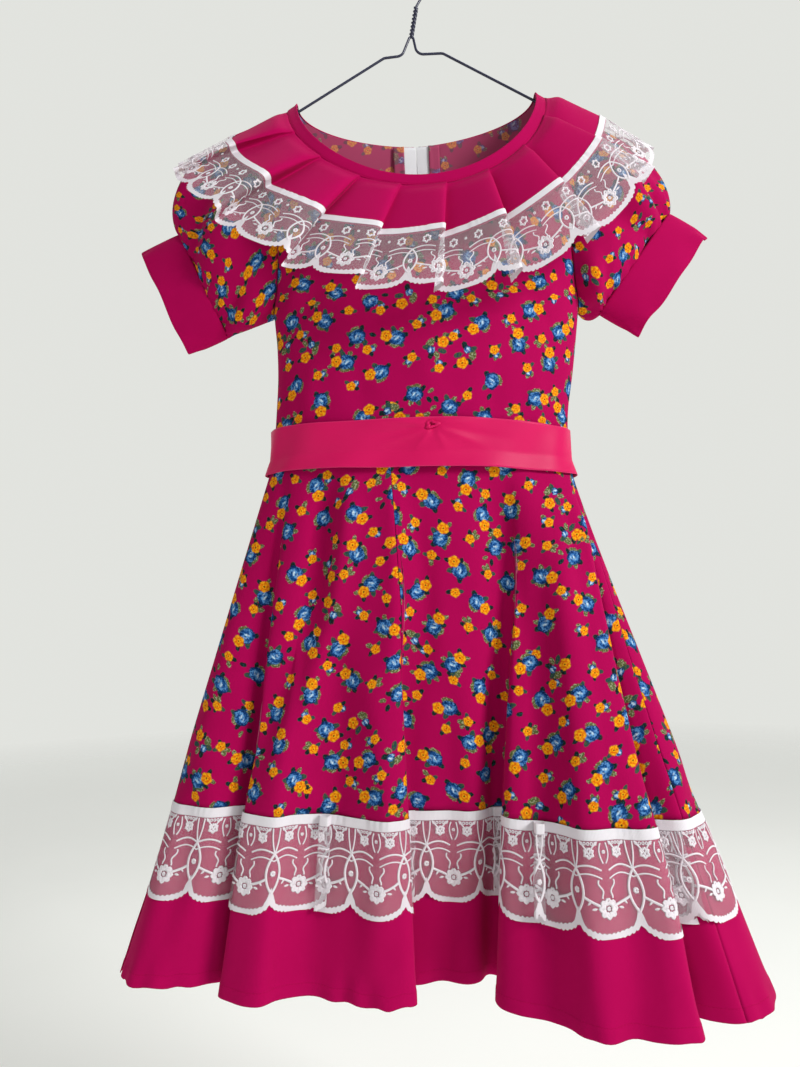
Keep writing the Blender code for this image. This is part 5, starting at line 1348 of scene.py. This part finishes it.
# makeRibbon: waist ring + clear + flare below the waist, then waves and the creases from the knot
def makeRibbon():
    cut = ribbonCut
    level = np.array(bodiceCut["waist"])
    half = bodySize(level, "halfWidth") + cut["clear"]
    end = math.pi - 3.5 / half
    turn = np.linspace(-end, end, cut["columns"])[:, None]
    height = np.linspace(cut["top"], cut["bottom"], cut["rows"])[None]
    flare = cut["flare"] * np.maximum(level - height, 0)
    depth = np.where(np.cos(turn) > 0, bodySize(level, "frontDepth"), bodySize(level, "backDepth"))
    lean = cut["lean"] * np.clip((height - level) / 28.0, 0, 1)
    x = bodySize(level, "centre") + (half + flare) * np.sin(turn)
    y = -(depth + cut["clear"] + 0.45 * flare + lean) * np.cos(turn)
    z = height + 0.9 * np.sin(3 * turn + 1) * (height > -480) + 0.5 * np.sin(5 * turn)
    grid = np.stack([x, y, z + 0 * x], axis=-1)
    normals = gridNormals(grid)
    first, second = cut["waves"]
    wave = first * np.sin(7 * turn + 0.05 * height) + second * np.sin(13 * turn - 0.09 * height)
    dx, dz = grid[..., 0] - cut["knot"][0], grid[..., 2] - cut["knot"][1]
    front = np.cos(turn) > 0
    for angle, length, width, deep in cut["rays"]:
        way = math.radians(angle)
        along = dx * math.cos(way) + dz * math.sin(way)
        off = dz * math.cos(way) - dx * math.sin(way)
        reach = smooth(along, 1, 8) * (1 - smooth(along, 0.3 * length, length))
        wide = width * (0.6 + along.clip(0) / length)
        wave = wave + front * deep * reach * np.exp(-((off / wide) ** 2))
    wave = wave - front * cut["dent"] * np.exp(-((np.hypot(dx, dz) / cut["dentWide"]) ** 2))
    grid = grid + normals * (0.5 + wave)[..., None]
    flat = flatMap(grid)
    flat[..., 1] = (cut["top"] - height) * mm + 0 * turn
    ribbon = makeSheet("waistRibbon", grid, [satin], cut["wall"], flat)
    row = grid[:, cut["knotRow"]]
    knot = makeKnot(row[np.argmin(np.abs(row[:, 0] - cut["knot"][0]) + 1000 * (row[:, 1] > 0))])
    settle(
        ribbon, ["waist_ribbon"], grid)


makeSkirt()
print("skirt made")
makeSkirtLace()
print("skirt lace made")
makeRibbon()
print("ribbon made")


# Zip: woven tapes, coils, and seam allowances beside them on the inside
zipCut = {
    "top": -173.0, "end": -574.0, "rows": 120, "tapeWidth": 13.0, "wall": 0.7, "tapeIn": 2.1,
    "tapeLean": 1.0,
    "tapeColumns": (0.2, 0.6, 3.0, 6.0, 9.0, 12.4, 13.0), "seamWall": 0.5, "seamIn": 4.1,
    "seamColumns": (12.2, 23.0, 7),
    # the coil: its ends from the tape's, step, radius, thickness, flattening, aside, inward
    "toothFrom": 14.0, "toothTo": 3.0, "toothStep": 1.7, "loop": 0.95, "thread": 0.28, "press": 0.75,
    "aside": 0.8, "inward": 0.6, "loopSteps": 8, "threadSides": 5,
}


# backCentre: the centre back's outside at a height, on the bodice and on down the skirt's seam
def backCentre(height):
    waist = bodiceCut["waist"]
    above = bodyPoint(0 * height, np.maximum(height, waist), 1)
    share = np.clip((waist - height) / abs(skirtDrop), 0, 1)
    outline = skirtOutline(np.array([float(skirtCut["zipRow"])]))[0]
    start = np.array([bodySize(np.array(waist), "centre"), bodySize(np.array(waist), "backDepth"), waist])
    seam = start[None] * (1 - share[:, None]) + outline[None, 1:] * share[:, None]
    return np.where((height > waist)[:, None], above, seam)


# zipStrip: a flat strip beside the centre back, its columns at distances across, set in from the outside
def zipStrip(centre, height, side, across, inward):
    grid = np.zeros((len(across), len(height), 3))
    grid[..., 0] = centre[None, :, 0] + side * across[:, None]
    grid[..., 1] = centre[None, :, 1] + inward
    grid[..., 2] = height
    return grid


# makeCoil: a small ring of thread for each tooth, left and right in turn
def makeCoil():
    cut = zipCut
    teeth = np.arange(cut["top"] - cut["toothFrom"], cut["end"] + cut["toothTo"], -cut["toothStep"])
    turn, ring = np.meshgrid(np.linspace(0, 2 * math.pi, cut["loopSteps"] + 1)[:-1],
                             np.linspace(0, 2 * math.pi, cut["threadSides"] + 1)[:-1], indexing="ij")
    far = cut["loop"] + cut["thread"] * np.cos(ring)
    loop = np.stack([
        far * np.cos(turn), far * np.sin(turn) * cut["press"], cut["thread"] * np.sin(ring)], axis=-1)
    side = np.where(np.arange(len(teeth)) % 2 == 0, -cut["aside"], cut["aside"])
    middle = backCentre(teeth) + np.stack([side, np.full(len(teeth), -cut["inward"]), 0 * side], axis=-1)
    points = middle[:, None, None] + loop[None]
    number = np.arange(points.size // 3).reshape(len(teeth), cut["loopSteps"], cut["threadSides"])
    across, both, after = ringFaces(number)
    faces = np.stack([number, across, both, after], axis=-1).reshape(-1, 4)
    settle(makeMesh("zipCoil", leaned(points.reshape(-1, 3)), faces, [whiteMetal]))


# makeZip: strips beside the centre back, x = centre + side * across, y = centre + inward, and the coil
def makeZip():
    cut = zipCut
    height = np.linspace(cut["top"], cut["end"], cut["rows"])
    centre = backCentre(height)
    for side, node, hand in ((-1, "zip_tape_left", "Left"), (1, "zip_tape_right", "Right")):
        across = np.array(cut["tapeColumns"])
        inward = -cut["tapeIn"] - cut["tapeLean"] * (across[:, None] / cut["tapeWidth"])
        grid = zipStrip(centre, height, side, across, inward)
        piece = makeSheet("zipTape" + hand, grid, [tape], cut["wall"], flatMap(grid))
        settle(piece, [node], grid)
        across = np.linspace(*cut["seamColumns"])
        wave = 0.5 * np.sin(height / 17.0)[None] * (across[:, None] > 14)
        inward = -cut["seamIn"] - 0.5 * np.abs(np.sin(height / 23.0))[None] + wave
        grid = zipStrip(centre, height, side, across, inward)
        flat = flatMap(grid, shift=(3.0 + side, 0.0))
        piece = makeSheet("seamAllowance" + hand, grid, [clothInside], cut["seamWall"], flat)
        settle(piece, (), grid)
    makeCoil()
    for node in ("zip_slider", "zip_pull"):
        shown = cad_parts[node]
        shown.data.materials.clear()
        shown.data.materials.append(whiteMetal)
        soft = shown.modifiers.new("edges", "BEVEL")
        soft.width = 0.0002
        soft.segments = 2
        soft.limit_method = "ANGLE"


makeZip()
print("zip made")


# Hanger: a loop of wire whose ends twist together under the hook; points as x and z in the front view
hangerCut = {
    "radius": 1.25, "hook": 19.0, "twistTop": (1.3, -48.0), "twistBottom": (-4.3, -80.0), "turns": 4.0,
    "twistSteps": 130, "twistOut": 1.05 * 1.15, "armEnd": 196.0, "below": 3.7, "bar": -223.0,
    "barMore": 4,
    # the hook's first and last angle and steps, the bend of its stem, and steps of the stem's three runs
    "hookTurn": (-38.0, 205.0, 90), "stemBend": (5.5, -37.5), "stemSteps": (6, 10, 8), "smoothings": 3,
    # where the loop leaves the twist, where the arms start, where it comes back, the corners' radii
    "leaves": ((-3.4, -73.5), (1.0, -97.6)), "armStarts": (26.0, 31.0), "back": (-13.5, -98.6),
    "radii": (2.2, 8.0, 7.0, 0.55 * 13, 0.7 * 13, 0.7 * 13, 0.55 * 13, 7.0, 8.0),
    "endShares": (0.05, 0.6, 0.9),
}


# tubeRings: circle of the wire's radius round each point of a path, in the path's own frame
def tubeRings(path, radius, count=14, closed=False):
    if closed:
        ahead = unit(np.roll(path, -1, axis=0) - np.roll(path, 1, axis=0))
    else:
        ahead = unit(np.gradient(path, axis=0))
    side = unit(np.cross(ahead, np.array([0.0, 1.0, 0.0]) + 0.001))
    up = np.cross(side, ahead)
    turn = np.arange(count) * 2 * math.pi / count
    aside, above = np.cos(turn)[None, :, None], np.sin(turn)[None, :, None]
    return path[:, None] + radius * (side[:, None] * aside + up[:, None] * above)


# tubeFaces: quads between one ring and the next
def tubeFaces(rings, start, closed=False):
    steps, count = rings.shape[:2]
    number = start + np.arange(steps * count).reshape(steps, count)
    rows = np.concatenate([number, number[:1]]) if closed else number
    after = np.roll(rows, -1, axis=1)
    return np.stack([rows[:-1], rows[1:], after[1:], after[:-1]], axis=-1).reshape(-1, 4)


# roundedCorner: arc of a radius in the corner between two straight runs, in x and z
def roundedCorner(before, corner, after, radius, steps=14):
    back = unit(np.array(before, float) - np.array(corner, float))
    forth = unit(np.array(after, float) - np.array(corner, float))
    half = 0.5 * math.acos(float(np.dot(back, forth)))
    middle = np.array(corner) + unit(back + forth) * radius / math.sin(half)
    start = np.array(corner) + back * radius / math.tan(half)
    end = np.array(corner) + forth * radius / math.tan(half)
    part = np.linspace(0, 1, steps)[:, None]
    return middle + unit(start * (1 - part) + end * part - middle) * radius


# twistPaths: two helices half a turn apart down the line from the twist's top to its bottom
def twistPaths():
    cut = hangerCut
    top, bottom = np.array(cut["twistTop"]), np.array(cut["twistBottom"])
    part = np.linspace(0, 1, cut["twistSteps"])[:, None]
    ahead = unit(bottom - top)
    line = top * (1 - part) + bottom * part
    reach = cut["twistOut"]
    for phase in (0.0, math.pi):
        spin = phase + 2 * math.pi * cut["turns"] * part[:, 0]
        x = line[:, 0] + -ahead[1] * reach * np.cos(spin)
        z = line[:, 1] + ahead[0] * reach * np.cos(spin)
        yield np.stack([x, reach * np.sin(spin), z], axis=1)


# hookPath: stem and arc as straight runs and a circle, smoothed with weights 1/4, 1/2, 1/4
def hookPath():
    cut = hangerCut
    top, radius = cut["twistTop"], cut["hook"] + cut["radius"]
    turn = np.radians(np.linspace(*cut["hookTurn"]))
    arc = np.stack([radius * np.cos(turn), 0 * turn, radius * np.sin(turn) - cut["hook"]], axis=1)
    bendX, bendZ = cut["stemBend"]
    knots = np.array([
        [top[0] - 0.7, 0, top[1] - 4.0], [top[0] + 0.2, 0, top[1] + 1.0],
        [top[0] + bendX, 0, bendZ], arc[0]])
    stem = [
        first * (1 - part) + last * part
        for first, last, steps in zip(knots[:-1], knots[1:], cut["stemSteps"])
        for part in np.linspace(0, 1, steps)[:-1]]
    hook = np.concatenate([np.array(stem), arc])
    for _ in range(cut["smoothings"]):
        hook[1:-1] = 0.25 * hook[:-2] + 0.5 * hook[1:-1] + 0.25 * hook[2:]
    return hook


# loopPath: arms and bar as straight runs with rounded corners, closed
def loopPath():
    cut = hangerCut

    def onArm(x):
        return x, float(shoulderLine(np.array(x))) - cut["below"]

    end, bar = cut["armEnd"], cut["bar"]
    corners = [
        *cut["leaves"], onArm(cut["armStarts"][0]), onArm(end), (end + cut["barMore"], bar),
        (-end - cut["barMore"], bar), onArm(-end), onArm(-cut["armStarts"][1]), cut["back"]]
    flatPath = np.concatenate([
        roundedCorner(corners[i - 1], corner, corners[(i + 1) % len(corners)], cut["radii"][i])
        for i, corner in enumerate(corners)])
    return np.stack([flatPath[:, 0], 0 * flatPath[:, 0], flatPath[:, 1]], axis=1)


# makeHanger: tubes along the twist, the hook and the closed loop, open ends drawn in to a point
def makeHanger():
    cut = hangerCut
    pieces, faces, start = [], [], 0
    for path, closed in [*((path, False) for path in (*twistPaths(), hookPath())), (loopPath(), True)]:
        rings = tubeRings(path, cut["radius"], closed=closed)
        if not closed:
            ends = [path[:1, None] + (rings[:1] - path[:1, None]) * share for share in cut["endShares"]]
            shares = cut["endShares"][::-1]
            tail = [path[-1:, None] + (rings[-1:] - path[-1:, None]) * share for share in shares]
            rings = np.concatenate(ends + [rings] + tail)
        pieces.append(rings.reshape(-1, 3))
        faces.append(tubeFaces(rings, start, closed))
        start += rings.shape[0] * rings.shape[1]
    wire = makeMesh("hangerWire", leaned(np.concatenate(pieces)), np.concatenate(faces), [wireCoat])
    settle(wire, ["hanger"])


makeHanger()
print("hanger made")


# Stage, light and camera, in metres
stageCut = {
    "floorLevel": -1.28, "floorSize": 9.0, "floorTint": ((0.90, 0.91, 0.88), (0.94, 0.95, 0.92)),
    "floorFade": (1.6, 0.35), "paleTint": (0.76, 0.77, 0.735), "dimTint": (0.30, 0.30, 0.30),
    "blend": (-0.2, 0.35),
    # name, place, aim, width and watts
    "lights": (
        ("keyLight", (1.9, -1.5, 0.6), (0, 0, -0.5), 0.8, 64.0),
        ("fillLight", (-1.9, -1.7, -0.2), (0, 0, -0.6), 1.8, 6.0),
        ("topLight", (0.2, 0.8, 1.5), (0, 0, -0.5), 1.6, 18.0),
    ),
}


# makeFloor: a pale square under the dress, its alpha 1 - fade of the distance from the middle
def makeFloor():
    size = stageCut["floorSize"] / mm
    corner = np.array([[-size, -size, 0], [size, -size, 0], [size, size, 0], [-size, size, 0]], float)
    corner[:, 2] = stageCut["floorLevel"] / mm
    look = Look("floor", Roughness=0.95, Specular_IOR_Level=0.1)
    at = look.place()
    x, y, _ = look.parts(at)
    look.feed("Base Color", look.mix(look.noise(at, 3.0), *stageCut["floorTint"]))
    start, fade = stageCut["floorFade"]
    look.feed("Alpha", 1.0 - (((x * x + y * y).root() - start) * fade).clamped())
    makeMesh("floor", corner, np.array([[0, 1, 2, 3]]), [look.material])


# makeWorld: a dim tint in front blends into a pale one behind the dress, by the y of the direction
def makeWorld():
    world = bpy.data.worlds.new("studio")
    bpy.context.scene.world = world
    world.use_nodes = True
    nodes, links = world.node_tree.nodes, world.node_tree.links
    way = nodes.new("ShaderNodeTexCoord")
    split = nodes.new("ShaderNodeSeparateXYZ")
    ramp = nodes.new("ShaderNodeMapRange")
    blend = nodes.new("ShaderNodeMix")
    blend.data_type = "RGBA"
    links.new(way.outputs["Generated"], split.inputs[0])
    links.new(split.outputs["Y"], ramp.inputs["Value"])
    ramp.inputs["From Min"].default_value, ramp.inputs["From Max"].default_value = stageCut["blend"]
    links.new(ramp.outputs["Result"], blend.inputs[0])
    blend.inputs[6].default_value = (*stageCut["dimTint"], 1)
    blend.inputs[7].default_value = (*stageCut["paleTint"], 1)
    links.new(blend.outputs[2], nodes["Background"].inputs["Color"])


# makeLights: square lamps, each turned from its place to its aim
def makeLights():
    for name, place, aim, size, power in stageCut["lights"]:
        light = bpy.data.lights.new(name, "AREA")
        light.size = size
        light.energy = power
        lamp = bpy.data.objects.new(name, light)
        lamp.location = place
        way = np.array(aim, float) - np.array(place, float)
        tilt = math.atan2(math.hypot(way[0], way[1]), -way[2])
        lamp.rotation_euler = (tilt, 0, math.atan2(-way[0], way[1]))
        bpy.context.scene.collection.objects.link(lamp)


cameraCut = {"lens": 780 / 1067 * 36, "place": (-0.026, -0.700, -0.645), "pitch": 6.5, "roll": 1.3}


# makeCamera: right, up and back axes from the pitch, then turned by the roll
def makeCamera():
    pitch, roll = math.radians(cameraCut["pitch"]), math.radians(cameraCut["roll"])
    ahead = np.array([0, math.cos(pitch), math.sin(pitch)])
    up = np.array([0, -math.sin(pitch), math.cos(pitch)])
    right = np.array([1.0, 0, 0])
    turnedRight = right * math.cos(roll) - up * math.sin(roll)
    turnedUp = up * math.cos(roll) + right * math.sin(roll)
    camera = bpy.data.objects.new("camera", bpy.data.cameras.new("camera"))
    camera.data.lens = cameraCut["lens"]
    camera.data.sensor_width = 36
    matrix = np.eye(4)
    matrix[:3] = np.stack([turnedRight, turnedUp, -ahead, cameraCut["place"]], axis=1)
    camera.matrix_world = Matrix(matrix.tolist())
    bpy.context.scene.collection.objects.link(camera)
    bpy.context.scene.camera = camera


makeFloor()
makeWorld()
makeLights()
makeCamera()
print("stage, light and camera made")
